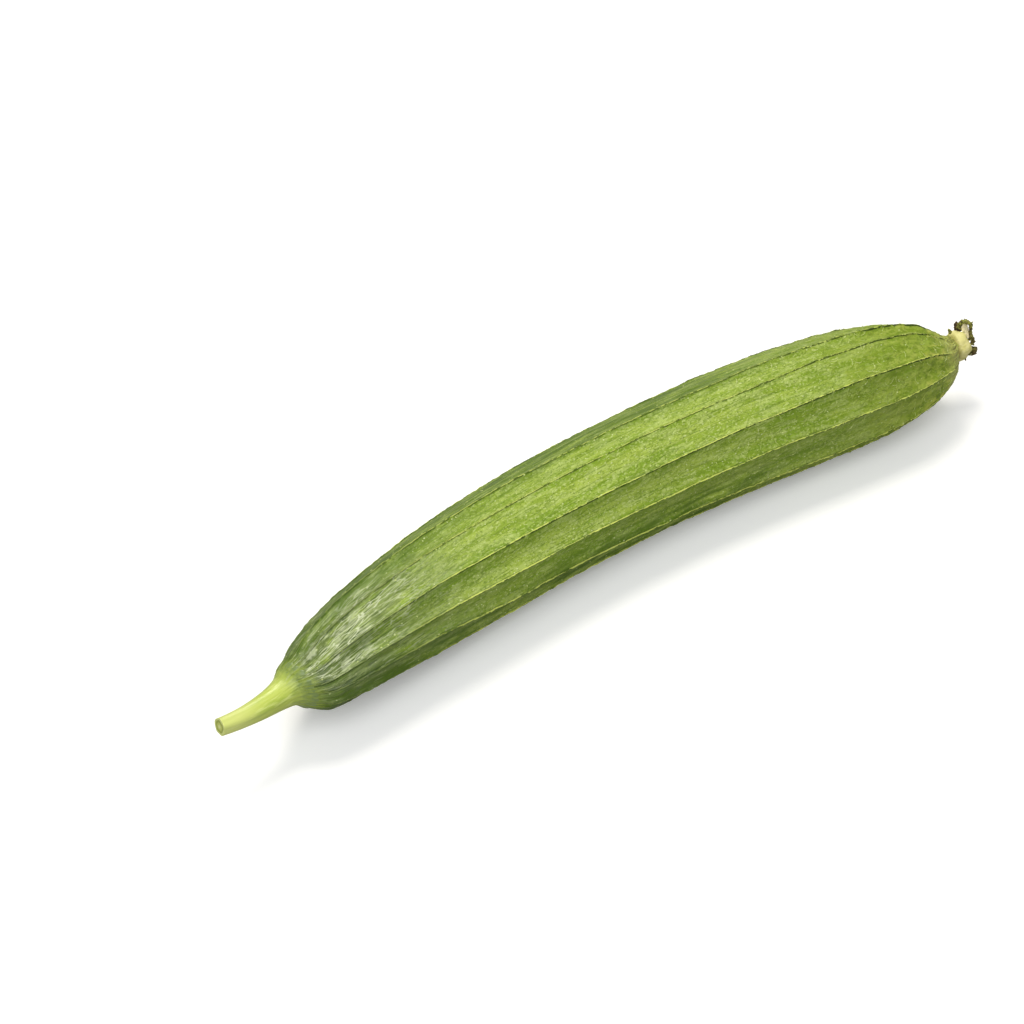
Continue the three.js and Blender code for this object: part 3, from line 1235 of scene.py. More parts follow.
        # Noise on a wide ring round the fruit, so that it closes on itself.
        angle = make(MATH, swing, operation="RADIANS")
        spot = make(
            COMBINE,
            make(MATH, along, 45.0, operation="DIVIDE"),
            make(MATH, make(MATH, angle, operation="SINE"), 1.6, operation="MULTIPLY"),
            make(MATH, make(MATH, angle, operation="COSINE"), 1.6, operation="MULTIPLY"),
        )
        stray = make(NOISE, spot, named={"Scale": 1.0, "Detail": 1.0})
        wander = make(MAP_RANGE, stray, NOISE_LOW, NOISE_HIGH, -1.0, 1.0)
        swing = make(MATH, wander, given["Ridge wander"], swing, operation="MULTIPLY_ADD")
        return Column(index, way, gap, swing)

    def _valley(self, recipe: Recipe, column: Column, along: object) -> tuple[Node, Node, Node]:
        """Sinks the section between two ridges.

        Args:
            recipe: The recipe.
            column: The column.
            along: The distance along the fruit.

        Returns:
            The angle to the nearest ridge, how far the valleys have built up there, and how far it sinks.
        """
        make, given = recipe.add, recipe.given
        back = make(MATH, 1.0, column.way, operation="SUBTRACT")
        nearest = make(MATH, column.way, back, operation="MINIMUM")
        off_ridge = make(MATH, nearest, column.gap, operation="MULTIPLY")
        half_gap = make(MATH, column.gap, 0.5, operation="MULTIPLY")
        reach = make(MATH, half_gap, given["Ridge reach"], operation="MINIMUM")
        fall = make(MATH, off_ridge, reach, operation="DIVIDE", use_clamp=True)
        fall = make(MATH, make(MATH, fall, math.pi / 2, operation="MULTIPLY"), operation="SINE")
        narrow = make(MATH, reach, given["Ridge reach"], operation="DIVIDE")
        narrow = make(MATH, narrow, 0.7, operation="POWER")
        ahead = make(MATH, given["Length"], along, operation="SUBTRACT")
        from_end = make(MATH, along, ahead, operation="MINIMUM")
        built = make(MAP_RANGE, from_end, 0.0, given["Valley build-up"], interpolation_type="SMOOTHSTEP")
        depth = make(MATH, make(MATH, fall, narrow, operation="MULTIPLY"), built, operation="MULTIPLY")
        deep = self._pick(recipe, column.index, [ridge.depth for ridge in self.ridges])
        depth = make(MATH, depth, deep, operation="MULTIPLY")
        return off_ridge, built, make(MATH, depth, given["Valley depth"], operation="MULTIPLY")

    def _edge(self, recipe: Recipe, off_ridge: Node, skin_place: Node, built: Node) -> Node:
        """Raises the thin edge that stands on each ridge, nicked along its length.

        Args:
            recipe: The recipe.
            off_ridge: The distance to the nearest ridge.
            skin_place: The place on the straightened skin.
            built: How far the valleys have built up.

        Returns:
            The edge's height.
        """
        make, given = recipe.add, recipe.given
        spread = make(MATH, off_ridge, given["Crest width"], operation="DIVIDE")
        bell = make(MATH, make(MATH, spread, 2.0, operation="POWER"), -1.0, operation="MULTIPLY")
        bell = make(MATH, bell, operation="EXPONENT")
        spot = make(VECTOR_MATH, skin_place, (0.45, 0.25, 0.25), operation="MULTIPLY")
        nicks = make(NOISE, spot, named={"Scale": 1.0, "Detail": 3.0})
        nicks = make(MAP_RANGE, nicks, 0.3, 0.65, 0.2, 1.2)
        edge = make(MATH, make(MATH, bell, nicks, operation="MULTIPLY"), built, operation="MULTIPLY")
        return make(MATH, edge, given["Crest height"], operation="MULTIPLY")

    def _grow(self, recipe: Recipe) -> None:
        """Fills the recipe: a grid of rings and columns is wrapped round the arc.

        Args:
            recipe: The recipe.
        """
        make, given = recipe.add, recipe.given
        outline = make("GeometryNodeMeshToCurve", given["Geometry"])
        outline = make("GeometryNodeCurveSplineType", outline, spline_type="CATMULL_ROM")
        outline = make("GeometryNodeSetSplineResolution", outline, named={"Resolution": 24})
        marked = make("GeometryNodeMeshGrid", 1.0, 1.0, given["Rings"], given["Columns"])
        cell = make(SEPARATE, make("GeometryNodeInputPosition")).outputs
        ring = {"Factor": make(MATH, cell["X"], 0.5, operation="ADD", use_clamp=True)}
        station = make("GeometryNodeSampleCurve", outline, named=ring, mode="FACTOR", use_all_curves=True)
        profile = make(SEPARATE, station.outputs["Position"]).outputs
        along, ridge_radius = profile["X"], profile["Y"]
        share = make(MATH, along, given["Length"], operation="DIVIDE")
        centred = make(MATH, share, 2.0, -1.0, operation="MULTIPLY_ADD")
        column = self._column(recipe, cell["Y"], along, share, centred)
        angle = make(MATH, column.swing, operation="RADIANS")
        sine, cosine = (make(MATH, angle, operation=wave) for wave in ("SINE", "COSINE"))
        off_ridge, built, sunk = self._valley(recipe, column, along)

        # Places on the straightened skin, for the reliefs and the finish, and again in degrees, for rays.
        across, deep = (make(MATH, ridge_radius, wave, operation="MULTIPLY") for wave in (sine, cosine))
        skin_place = make(COMBINE, along, across, deep)
        degree = 180 / math.pi
        across, deep = (make(MATH, wave, degree, operation="MULTIPLY") for wave in (sine, cosine))
        rays = make(COMBINE, along, across, deep)
        off_mm = make(MATH, off_ridge, ridge_radius, operation="MULTIPLY")
        off_mm = make(MATH, off_mm, degree, operation="DIVIDE")
        nearer_next = make(MATH, column.way, 0.5, operation="GREATER_THAN")
        sign = make(MATH, nearer_next, -2.0, 1.0, operation="MULTIPLY_ADD")
        crest = make(MATH, off_mm, sign, operation="MULTIPLY")

        smooth = make(MATH, ridge_radius, sunk, operation="SUBTRACT")
        edge = self._edge(recipe, off_mm, skin_place, built)
        uneven = self._unevenness(recipe, along, {Place.SKIN: skin_place, Place.RAYS: rays})
        kept = make(MAP_RANGE, ridge_radius, 1.0, 6.0, interpolation_type="SMOOTHSTEP")
        edged = make(MATH, smooth, edge, operation="ADD")
        total = make(MATH, uneven, kept, edged, operation="MULTIPLY_ADD")

        plain, full = (self._bent(recipe, centred, along, wide, sine, cosine) for wide in (smooth, total))
        for label, value in (("skin", skin_place), ("rays", rays), ("plain", plain)):
            marked = make(STORE, marked, None, label, value, data_type="FLOAT_VECTOR", domain="POINT")
        turn = make(MATH, column.swing, 180.0, -180.0, operation="WRAP")
        for label, value in (("crest", crest), ("turn", turn)):
            marked = make(STORE, marked, None, label, value, data_type="FLOAT", domain="POINT")
        shaped = make(SET_POSITION, marked, None, full)
        joined = make("GeometryNodeMergeByDistance", shaped, named={"Distance": 0.001})
        sized = make("GeometryNodeTransform", joined, named={"Scale": (MM, MM, MM)})
        recipe.end(make("GeometryNodeSetShadeSmooth", sized))

    def _bent(
        self, recipe: Recipe, centred: object, along: object, radius: object, sine: object, cosine: object
    ) -> Node:
        """Wraps a place round the arc, with the section drawn off it near the ends.

        Args:
            recipe: The recipe.
            centred: The share of the length, from -1 to 1.
            along: The distance along the fruit.
            radius: The distance from the middle of the section.
            sine: The sine of the angle round the fruit.
            cosine: Its cosine.

        Returns:
            The place in the arc's frame.
        """
        make, given = recipe.add, recipe.given
        aside, raised = make("ShaderNodeValue"), make("ShaderNodeValue")
        for shift in self.shifts:
            away = make(MATH, float(shift.end * self.length), along, operation="SUBTRACT")
            away = make(MATH, away, operation="ABSOLUTE")
            share = make(MATH, away, -1 / shift.reach, 1.0, operation="MULTIPLY_ADD", use_clamp=True)
            share = make(MATH, share, share, operation="MULTIPLY")
            aside = make(MATH, share, shift.side, aside, operation="MULTIPLY_ADD")
            raised = make(MATH, share, float(shift.up), raised, operation="MULTIPLY_ADD")
        across = make(MATH, aside, make(MATH, radius, sine, operation="MULTIPLY"), operation="SUBTRACT")
        height = make(MATH, radius, cosine, raised, operation="MULTIPLY_ADD")
        bend = make(MATH, centred, given["Half angle"], operation="MULTIPLY")
        out = make(MATH, given["Arc radius"], across, operation="ADD")
        x = make(MATH, out, make(MATH, bend, operation="SINE"), operation="MULTIPLY")
        seat = self.arc.radius * math.cos(self.arc.half_angle)
        y = make(MATH, out, make(MATH, bend, operation="COSINE"), -seat, operation="MULTIPLY_ADD")
        return make(COMBINE, x, y, height)

    def _outline(self) -> Mesh:
        """Makes the profile a chain of points, from the axis at the stalk's end to the axis at the other.

        Returns:
            A mesh of edges.
        """
        stations = [(share * self.length, radius, 0) for share, radius in self.profile]
        points = [(0, 0, 0), *stations, (self.length, 0, 0)]
        mesh = bpy.data.meshes.new("fruit_outline")
        mesh.from_pydata(points, [(i, i + 1) for i in range(len(points) - 1)], [])
        return mesh

    def build(self) -> Object:
        """Grows the rind and sets it where the solid fruit lies, pressed flat where it meets the floor.

        Returns:
            The rind.
        """
        recipe = self._recipe(RindFinish(self.length).material())
        self._grow(recipe)
        rind = recipe.run("fruit_rind", self._outline())
        plain = np.empty(len(rind.data.vertices) * 3)
        rind.data.attributes["plain"].data.foreach_get("vector", plain)
        plain = plain.reshape(-1, 3) * MM
        low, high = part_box("fruit")
        self.offset = (low + high) / 2 - Vector((plain.min(0) + plain.max(0)) / 2)
        rind.data.attributes.remove(rind.data.attributes["plain"])
        rind.data.transform(Matrix.Translation(self.offset))
        press(rind.data, low.z)
        return rind


# -------- what stands on the rind


@dataclass
class RidgeCrests:
    """The corky edge that stands along every ridge, and the scabs on it."""

    rind: Mesh
    length: float
    step: float = 0.45
    radius: float = 0.15
    thinnest: float = 0.35
    waver: float = 0.3
    scab_every: float = 1.3
    scab_length: float = 0.55
    scab_width: float = 0.22
    scab_share: float = 0.45
    seed: int = 11

    def _lines(self, recipe: Recipe) -> Node:
        """Lays curves along the rind's ridges, wavering a little.

        Args:
            recipe: The recipe.

        Returns:
            The curves.
        """
        make, given = recipe.add, recipe.given
        crest = make(STORED, "crest", data_type="FLOAT")
        on_ridge = make(MATH, make(MATH, crest, operation="ABSOLUTE"), 0.004, operation="LESS_THAN")
        lines = make("GeometryNodeMeshToCurve", given["Geometry"], on_ridge)
        lines = make("GeometryNodeResampleCurve", lines, None, given["Step"], mode="LENGTH")
        spot = make(STORED, "skin", data_type="FLOAT_VECTOR")
        stray = make(NOISE, spot, named={"Scale": 0.55, "Detail": 2.0}).outputs["Color"]
        stray = make(VECTOR_MATH, stray, (0.5, 0.5, 0.5), operation="SUBTRACT")
        stray = make(VECTOR_MATH, stray, given["Waver"], operation="SCALE")
        return make(SET_POSITION, lines, None, None, stray)

    def build(self) -> Object:
        """Grows the edges and their scabs on the rind's ridges.

        Returns:
            The piece.
        """
        sizes = {
            "Step": self.step * MM,
            "Radius": self.radius * MM,
            "Thinnest": self.thinnest,
            "Waver": self.waver * MM,
            "Scab every": self.scab_every * MM,
            "Scab length": self.scab_length * MM,
            "Scab width": self.scab_width * MM,
            "Scab share": self.scab_share,
            "Seed": self.seed,
        }
        recipe = Recipe("ridge_crests", sizes, CrestFinish(self.length).material())
        make, given = recipe.add, recipe.given
        lines = self._lines(recipe)
        spot = make(STORED, "skin", data_type="FLOAT_VECTOR")
        chunks = make(NOISE, spot, named={"Scale": 0.32, "Detail": 3.0})
        thickness = make(MAP_RANGE, chunks, 0.36, 0.66, given["Thinnest"], 1.15)
        ring = make("GeometryNodeCurvePrimitiveCircle", 5, given["Radius"])
        edge = make("GeometryNodeCurveToMesh", lines, ring, thickness, True)

        points = make("GeometryNodeCurveToPoints", lines, given["Scab every"], mode="LENGTH")
        chance = make(RANDOM, 0.0, 1.0, None, given["Seed"])
        kept = make(MATH, chance, given["Scab share"], operation="LESS_THAN")
        longer = make(RANDOM, 0.5, 1.3, None, given["Seed"])
        wider = make(RANDOM, 0.6, 1.2, None, given["Seed"])
        width = make(MATH, wider, given["Scab width"], operation="MULTIPLY")
        length = make(MATH, longer, given["Scab length"], operation="MULTIPLY")
        size = make(COMBINE, width, width, length)
        bead = make("GeometryNodeMeshIcoSphere", 1.0, 1)
        placed = {"Rotation": points.outputs["Rotation"], "Scale": size}
        scabs = make("GeometryNodeInstanceOnPoints", points, kept, bead, named=placed)
        both = make("GeometryNodeJoinGeometry", [edge, scabs])
        recipe.end(make("GeometryNodeSetShadeSmooth", both))
        crests = recipe.run("ridge_crests", self.rind)
        press(crests.data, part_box("fruit")[0].z)
        return crests


@dataclass
class RindFlecks:
    """Corky specks all over the rind, and fine stray hairs near the flower's end."""

    rind: Mesh
    length: float
    specks_per_cm2: float = 1.5
    speck_size: tuple[float, float, float] = (0.3, 0.2, 0.12)
    hairs_per_cm2: float = 7.0
    hair_bend: float = 2.3
    hair_sweep: float = 70.0
    hair_thickness: float = 0.12
    hair_zone: tuple[float, float] = (120.0, 20.0)
    seed: int = 23

    def _strewn(self, recipe: Recipe, density: object, shape: Node, size: object) -> Node:
        """Copies of a shape strewn over the rind, each turned its own way on the surface.

        Args:
            recipe: The recipe.
            density: How many there are on a square metre.
            shape: The shape, flat on XY.
            size: Its scale.

        Returns:
            The copies.
        """
        make, given = recipe.add, recipe.given
        points = make(SCATTER, given["Geometry"], None, density, given["Seed"])
        placed = {"Rotation": points.outputs["Rotation"], "Scale": size}
        copies = make("GeometryNodeInstanceOnPoints", points, None, shape, named=placed)
        turn = make(RANDOM, 0.0, math.tau, None, given["Seed"])
        turned = make(COMBINE, 0.0, 0.0, turn)
        copies = make("GeometryNodeRotateInstances", copies, None, turned)
        tone = make(RANDOM, 0.0, 1.0, None, given["Seed"])
        return make(STORE, copies, None, "tone", tone, data_type="FLOAT", domain="INSTANCE")

    def build(self) -> Object:
        """Strews the specks and hairs.

        Returns:
            The piece.
        """
        sizes = {
            "Speck density": self.specks_per_cm2 * PER_CM2,
            "Hair density": self.hairs_per_cm2 * PER_CM2,
            "Hair bend": self.hair_bend * MM,
            "Hair sweep": math.radians(self.hair_sweep),
            "Hair thickness": self.hair_thickness * MM,
            "Length": self.length,
            "Seed": self.seed,
        }
        recipe = Recipe("rind_flecks", sizes, FleckFinish().material())
        make, given = recipe.add, recipe.given
        bigger = make(RANDOM, 0.6, 1.5, None, given["Seed"])
        speck_size = tuple(side * MM for side in self.speck_size)
        speck_scale = make(VECTOR_MATH, speck_size, bigger, operation="SCALE")
        speck = make("GeometryNodeMeshIcoSphere", 1.0, 1)
        specks = self._strewn(recipe, given["Speck density"], speck, speck_scale)

        # Real hairs are half as thick. They are drawn coarser, because at that they would not show.
        start = make(MATH, given["Hair sweep"], -0.5, operation="MULTIPLY")
        sweep = {"Start Angle": start, "Sweep Angle": given["Hair sweep"]}
        arc = make("GeometryNodeCurveArc", 7, given["Hair bend"], named=sweep)
        centred = make(COMBINE, make(MATH, given["Hair bend"], -1.0, operation="MULTIPLY"))
        arc = make("GeometryNodeTransform", arc, named={"Translation": centred})
        ring = make("GeometryNodeCurvePrimitiveCircle", 3, given["Hair thickness"])
        hair = make("GeometryNodeCurveToMesh", arc, ring, None, True)
        spot = make(STORED, "skin", data_type="FLOAT_VECTOR")
        along = make(SEPARATE, spot).outputs["X"]
        ahead = make(MATH, given["Length"], along, operation="SUBTRACT")
        zone = make(MAP_RANGE, ahead, *self.hair_zone)
        density = make(MATH, zone, given["Hair density"], operation="MULTIPLY")
        hairs = self._strewn(recipe, density, hair, (1.0, 1.0, 1.0))
        recipe.end(make("GeometryNodeSetShadeSmooth", make("GeometryNodeJoinGeometry", [specks, hairs])))
        flecks = recipe.run("rind_flecks", self.rind)
        press(flecks.data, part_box("fruit")[0].z)
        return flecks


# -------- the stalk


def swept(
    places: Sequence[tuple[Vector, Vector]], radii: np.ndarray, swell: np.ndarray, start: Vector
) -> np.ndarray:
    """Sweeps a round section along an axis.

    Args:
        places: The middle of each ring and the direction that it faces.
        radii: The radius of each ring.
        swell: What each ring adds to its radius, by column.
        start: What every point is moved by.

    Returns:
        Points by ring and column.
    """
    turns = np.linspace(0, math.tau, swell.shape[1], endpoint=False)
    rings = []
    for (middle, heading), radius, ring_swell in zip(places, radii, swell):
        side, up = (np.array(v) for v in frame_on(heading))
        out = np.outer(np.cos(turns), up) + np.outer(np.sin(turns), side)
        rings.append(np.array(middle + start) + out * (radius + ring_swell)[:, None])
    return np.array(rings)


def straightened(profile: np.ndarray, columns: int) -> np.ndarray:
    """Lays a swept profile's points on its straightened skin.

    Args:
        profile: Height and radius of each ring.
        columns: How many columns it has.

    Returns:
        Each point's height, and its places across and up.
    """
    turns = np.linspace(0, math.tau, columns, endpoint=False)
    heights = np.broadcast_to(profile[:, :1], (len(profile), columns))
    return np.stack([heights, profile[:, 1:] * np.sin(turns), profile[:, 1:] * np.cos(turns)], axis=2)


def clamped(value: float, low: float = 0.0, high: float = 1.0) -> float:
    """A value kept between two others."""
    return min(max(value, low), high)


def round_place(height: float, radius: float, turn: float) -> tuple[float, float, float]:
    """A place for noise that closes on itself round an axis."""
    return height, radius * math.cos(turn), radius * math.sin(turn)


@dataclass
class Stalk:
    """The stalk that flares onto the fruit and rises a little to its cut end."""

    fruit: Fruit
    profile: tuple[tuple[float, float], ...] = (
        (0, 6.7), (1.2, 6.05), (2.8, 5.5), (7, 4.7), (13, 4.1), (21, 3.5), (30, 3.1),
    )
    skirt: tuple[float, ...] = (0.46, 0.34, 0.22, 0.1, -0.1, -0.5)
    skirt_reach: float = 4.0
    end_heading: float = 1.0
    rise: float = 3.0
    ribs: int = 5
    rib_height: float = 0.1
    groove_height: float = 0.06
    lump_height: float = 0.17
    wrinkle_height: float = 0.45
    wrinkle_reach: float = 7.0
    face_rim: tuple[tuple[float, float], ...] = ((0.06, 0.97), (0.08, 0.93))
    face_slope: float = 0.04
    columns: int = 144

    def path(self) -> Path:
        """Finds its axis.

        Returns:
            The path from the seat to the cut.
        """
        length = self.profile[-1][0]
        seat = self.fruit.seat(0)
        leaving = math.degrees(math.atan2(seat.outward.y, seat.outward.x)) % 360 - 360
        end_heading = self.end_heading - 180
        level = direction((leaving + end_heading) / 2, 0)
        end = seat.point + level * math.sqrt(length**2 - self.rise**2) + Vector((0, 0, self.rise))
        pitch = 2 * math.degrees(math.asin(self.rise / length))
        return Path.between(seat.point, seat.outward, end, direction(end_heading, pitch))

    def _rings(self) -> tuple[np.ndarray, list[tuple[Vector, Vector]]]:
        """Lays out its rings, from inside the fruit to the middle of the cut.

        Returns:
            The height and radius of each ring, and its middle and the way it faces.
        """
        length, end_radius = self.profile[-1]
        path = self.path()
        skirt, places = self.fruit.skirt(0, self.skirt, self.skirt_reach)
        side = rounded(self.profile, 150)[2:]
        face = [(length + height, end_radius * share) for height, share in self.face_rim]
        shares = np.linspace(0.88, 0.0, 16)
        face += [(length + self.face_slope * share, end_radius * share) for share in shares]
        ways = (height / length for height, _ in (*side, *face))
        places += [(path.point(way), path.heading(way)) for way in ways]
        return np.array([*skirt, *side, *face]), places

    def _swell(self, height: float, on_face: float, turn: float) -> float:
        """Finds how far the skin stands out.

        Args:
            height: The height over the seat.
            on_face: The share of the cut's radius, and 1 below the cut.
            turn: The angle round the axis, in radians.

        Returns:
            What the radius gains.
        """
        rib = math.cos(self.ribs * turn + 0.5 + height * 0.012) * self.rib_height
        groove = rough(round_place(height / 22, 4.2, turn), 1.0, 3) * self.groove_height
        lump = rough(round_place(height / 22, 5, turn), 2.6, 11) * self.lump_height
        fold = rough(round_place(height / 16, 9, turn), 1.0, 27) * self.wrinkle_height
        flare = clamped(height / 5, 0.25)
        folded = clamped(1 - height / self.wrinkle_reach) ** 2
        return (rib + groove + lump) * min(on_face, 1.0) * flare + fold * folded

    def build(self, offset: Vector) -> Object:
        """Builds the stalk's skin.

        Args:
            offset: From the frame of the fruit's arc to the part's frame.

        Returns:
            The skin.
        """
        length, end_radius = self.profile[-1]
        profile, places = self._rings()
        turns = np.linspace(0, math.tau, self.columns, endpoint=False)
        on_face = [radius / end_radius if height >= length else 1.0 for height, radius in profile]
        rows = zip(profile[:, 0], on_face)
        swell = np.array([[self._swell(height, on, turn) for turn in turns] for height, on in rows])
        rings = swept(places, profile[:, 1], swell, offset)
        smooth = np.column_stack([profile[:, 0], np.maximum(profile[:, 1], 0.4)])
        inwards = np.where(profile[:, :1] >= length, 1 - profile[:, 1:] / end_radius, 0.0)
        marks = {"skin": straightened(smooth, self.columns), "face": np.broadcast_to(inwards, swell.shape)}
        return skin("stalk_skin", rings, StalkFinish().material(), **marks)


# -------- the blossom end


@dataclass
class Knob:
    """The pale cup of the flower that stays on the fruit, with a dish in its face."""

    fruit: Fruit
    profile: tuple[tuple[float, float], ...] = (
        (-0.2, 4.8), (0.5, 5.35), (1.7, 5.9), (3.6, 5.8), (5, 5.3), (5.7, 4.7),
    )
    sink: float = 0.5
    skirt: tuple[float, ...] = (0.35, 0.26, 0.12, -0.1, -0.5)
    skirt_reach: float = 1.3
    dish: tuple[tuple[float, float], ...] = ((5.6, 4.1), (4.9, 2.7), (4.6, 0))
    height: float = 5.7
    turn: float = 8.0
    pitch: float = 10.0
    lobes: int = 5
    lobe_height: float = 0.34
    lump_height: float = 0.62
    dent_height: float = 0.2
    crease_depth: float = 0.35
    crease_reach: float = 2.4
    columns: int = 120

    def path(self) -> Path:
        """Finds its axis.

        Returns:
            The path from its foot to the rim.
        """
        seat = self.fruit.seat(1)
        heading = math.degrees(math.atan2(seat.outward.y, seat.outward.x)) + self.turn
        facing = direction(heading, self.pitch)
        mean = (seat.outward + facing).normalized()
        foot = seat.point - seat.outward * self.sink
        return Path.between(foot, seat.outward, foot + mean * self.height, facing)

    def rim_frame(self, offset: Vector) -> Matrix:
        """Finds the frame on the middle of its rim.

        Args:
            offset: From the frame of the fruit's arc to the part's frame.

        Returns:
            The frame, with +Y along the knob's axis, +X towards -Y and +Z up.
        """
        path = self.path()
        side, up = frame_on(path.heading(1))
        turned = Matrix((-side, path.heading(1), up)).transposed().to_4x4()
        return Matrix.Translation(path.point(1) + offset) @ turned

    def _swell(self, height: float, radius: float, turn: float) -> float:
        """Finds how far the skin stands out.

        Args:
            height: The height over the foot.
            radius: The profile's radius.
            turn: The angle round the axis, in radians.

        Returns:
            What the radius gains.
        """
        place = round_place(height, radius, turn)
        lobe = math.cos(self.lobes * turn + 0.8) * self.lobe_height
        lump = rough(place, 3.2, 5) * self.lump_height + rough(place, 1.3, 8) * self.dent_height
        foot = max(0, 1 - height / self.crease_reach)
        crease = abs(rough((height / 3, *place[1:]), 1.1, 2)) * self.crease_depth * foot
        share = min(radius / 4, 1.0) * clamped((height + 1.5) / 2.5, 0.2)
        return (lobe + lump - crease) * share

    def build(self, offset: Vector) -> Object:
        """Builds the knob's skin.

        Args:
            offset: From the frame of the fruit's arc to the part's frame.

        Returns:
            The skin.
        """
        path = self.path()
        skirt, places = self.fruit.skirt(1, self.skirt, self.skirt_reach)
        side = rounded(self.profile, 46)
        face = rounded((self.profile[-1], *self.dish), 26)[1:]
        profile = np.array([*skirt, *side, *face])
        places += [(path.point(h / self.height), path.heading(h / self.height)) for h, _ in (*side, *face)]
        turns = np.linspace(0, math.tau, self.columns, endpoint=False)
        swell = np.array([[self._swell(*ring, turn) for turn in turns] for ring in profile])
        rings = swept(places, profile[:, 1], swell, offset)
        in_dish = np.zeros((len(profile), 1))
        in_dish[-len(face) :, 0] = np.linspace(0.2, 1, len(face))
        marks = {"skin": straightened(profile, self.columns), "face": np.broadcast_to(in_dish, swell.shape)}
        return skin("knob_skin", rings, CupFinish().material(), **marks)


def on_knob(degrees: float, out: float, height: float) -> Vector:
    """A place on the knob: degrees round it, distance from its axis, height above its rim."""
    turn = math.radians(degrees)
    return Vector((out * math.cos(turn), height, out * math.sin(turn)))


def smooth_route(points: Sequence[Vector], count: int) -> np.ndarray:
    """Lays evenly spaced points on a Catmull-Rom curve.

    Args:
        points: The route's points.
        count: How many points are wanted.

    Returns:
        The points.
    """
    knots = np.array([points[0] * 2 - points[1], *points, points[-1] * 2 - points[-2]])
    made = []
    for place in np.linspace(0, len(points) - 1, count * 4):
        i = min(int(place), len(points) - 2)
        t = place - i
        a, b, c, d = knots[i : i + 4]
        square, cube = 2 * a - 5 * b + 4 * c - d, 3 * b - a - 3 * c + d
        made.append(0.5 * (2 * b + (c - a) * t + square * t**2 + cube * t**3))
    made = np.array(made)
    way = np.concatenate([[0], np.cumsum(np.linalg.norm(np.diff(made, axis=0), axis=1))])
    even = np.linspace(0, way[-1], count)
    return np.stack([np.interp(even, way, made[:, axis]) for axis in range(3)], axis=1)


def blunt(past: float, least: float = 0.02) -> float:
    """How wide a form still is where it rounds off: 1 up to its last span, which past is a share of."""
    return math.sqrt(max(least, 1 - max(0.0, past) ** 2))


# What a withered piece is like at a share of its length and a turn round it.
Form = Callable[[float, float], float]


@dataclass(frozen=True)
class Sepal:
    """One withered sepal: a narrow tongue that leans off the knob and curls over.

    Attributes:
        at: Its place round the knob, in degrees from -Y towards the top.
        out: Its foot's distance from the knob's axis.
        height: Its foot's height above the rim.
        lean: How far it leans off the axis at its foot, in degrees.
        curl: How far it curls over, in degrees.
        length: Its length.
        width: Its width.
        fresh: How fresh it still is at its foot.
    """

    at: float
    out: float
    height: float
    lean: float
    curl: float
    length: float
    width: float
    fresh: float = 0.2


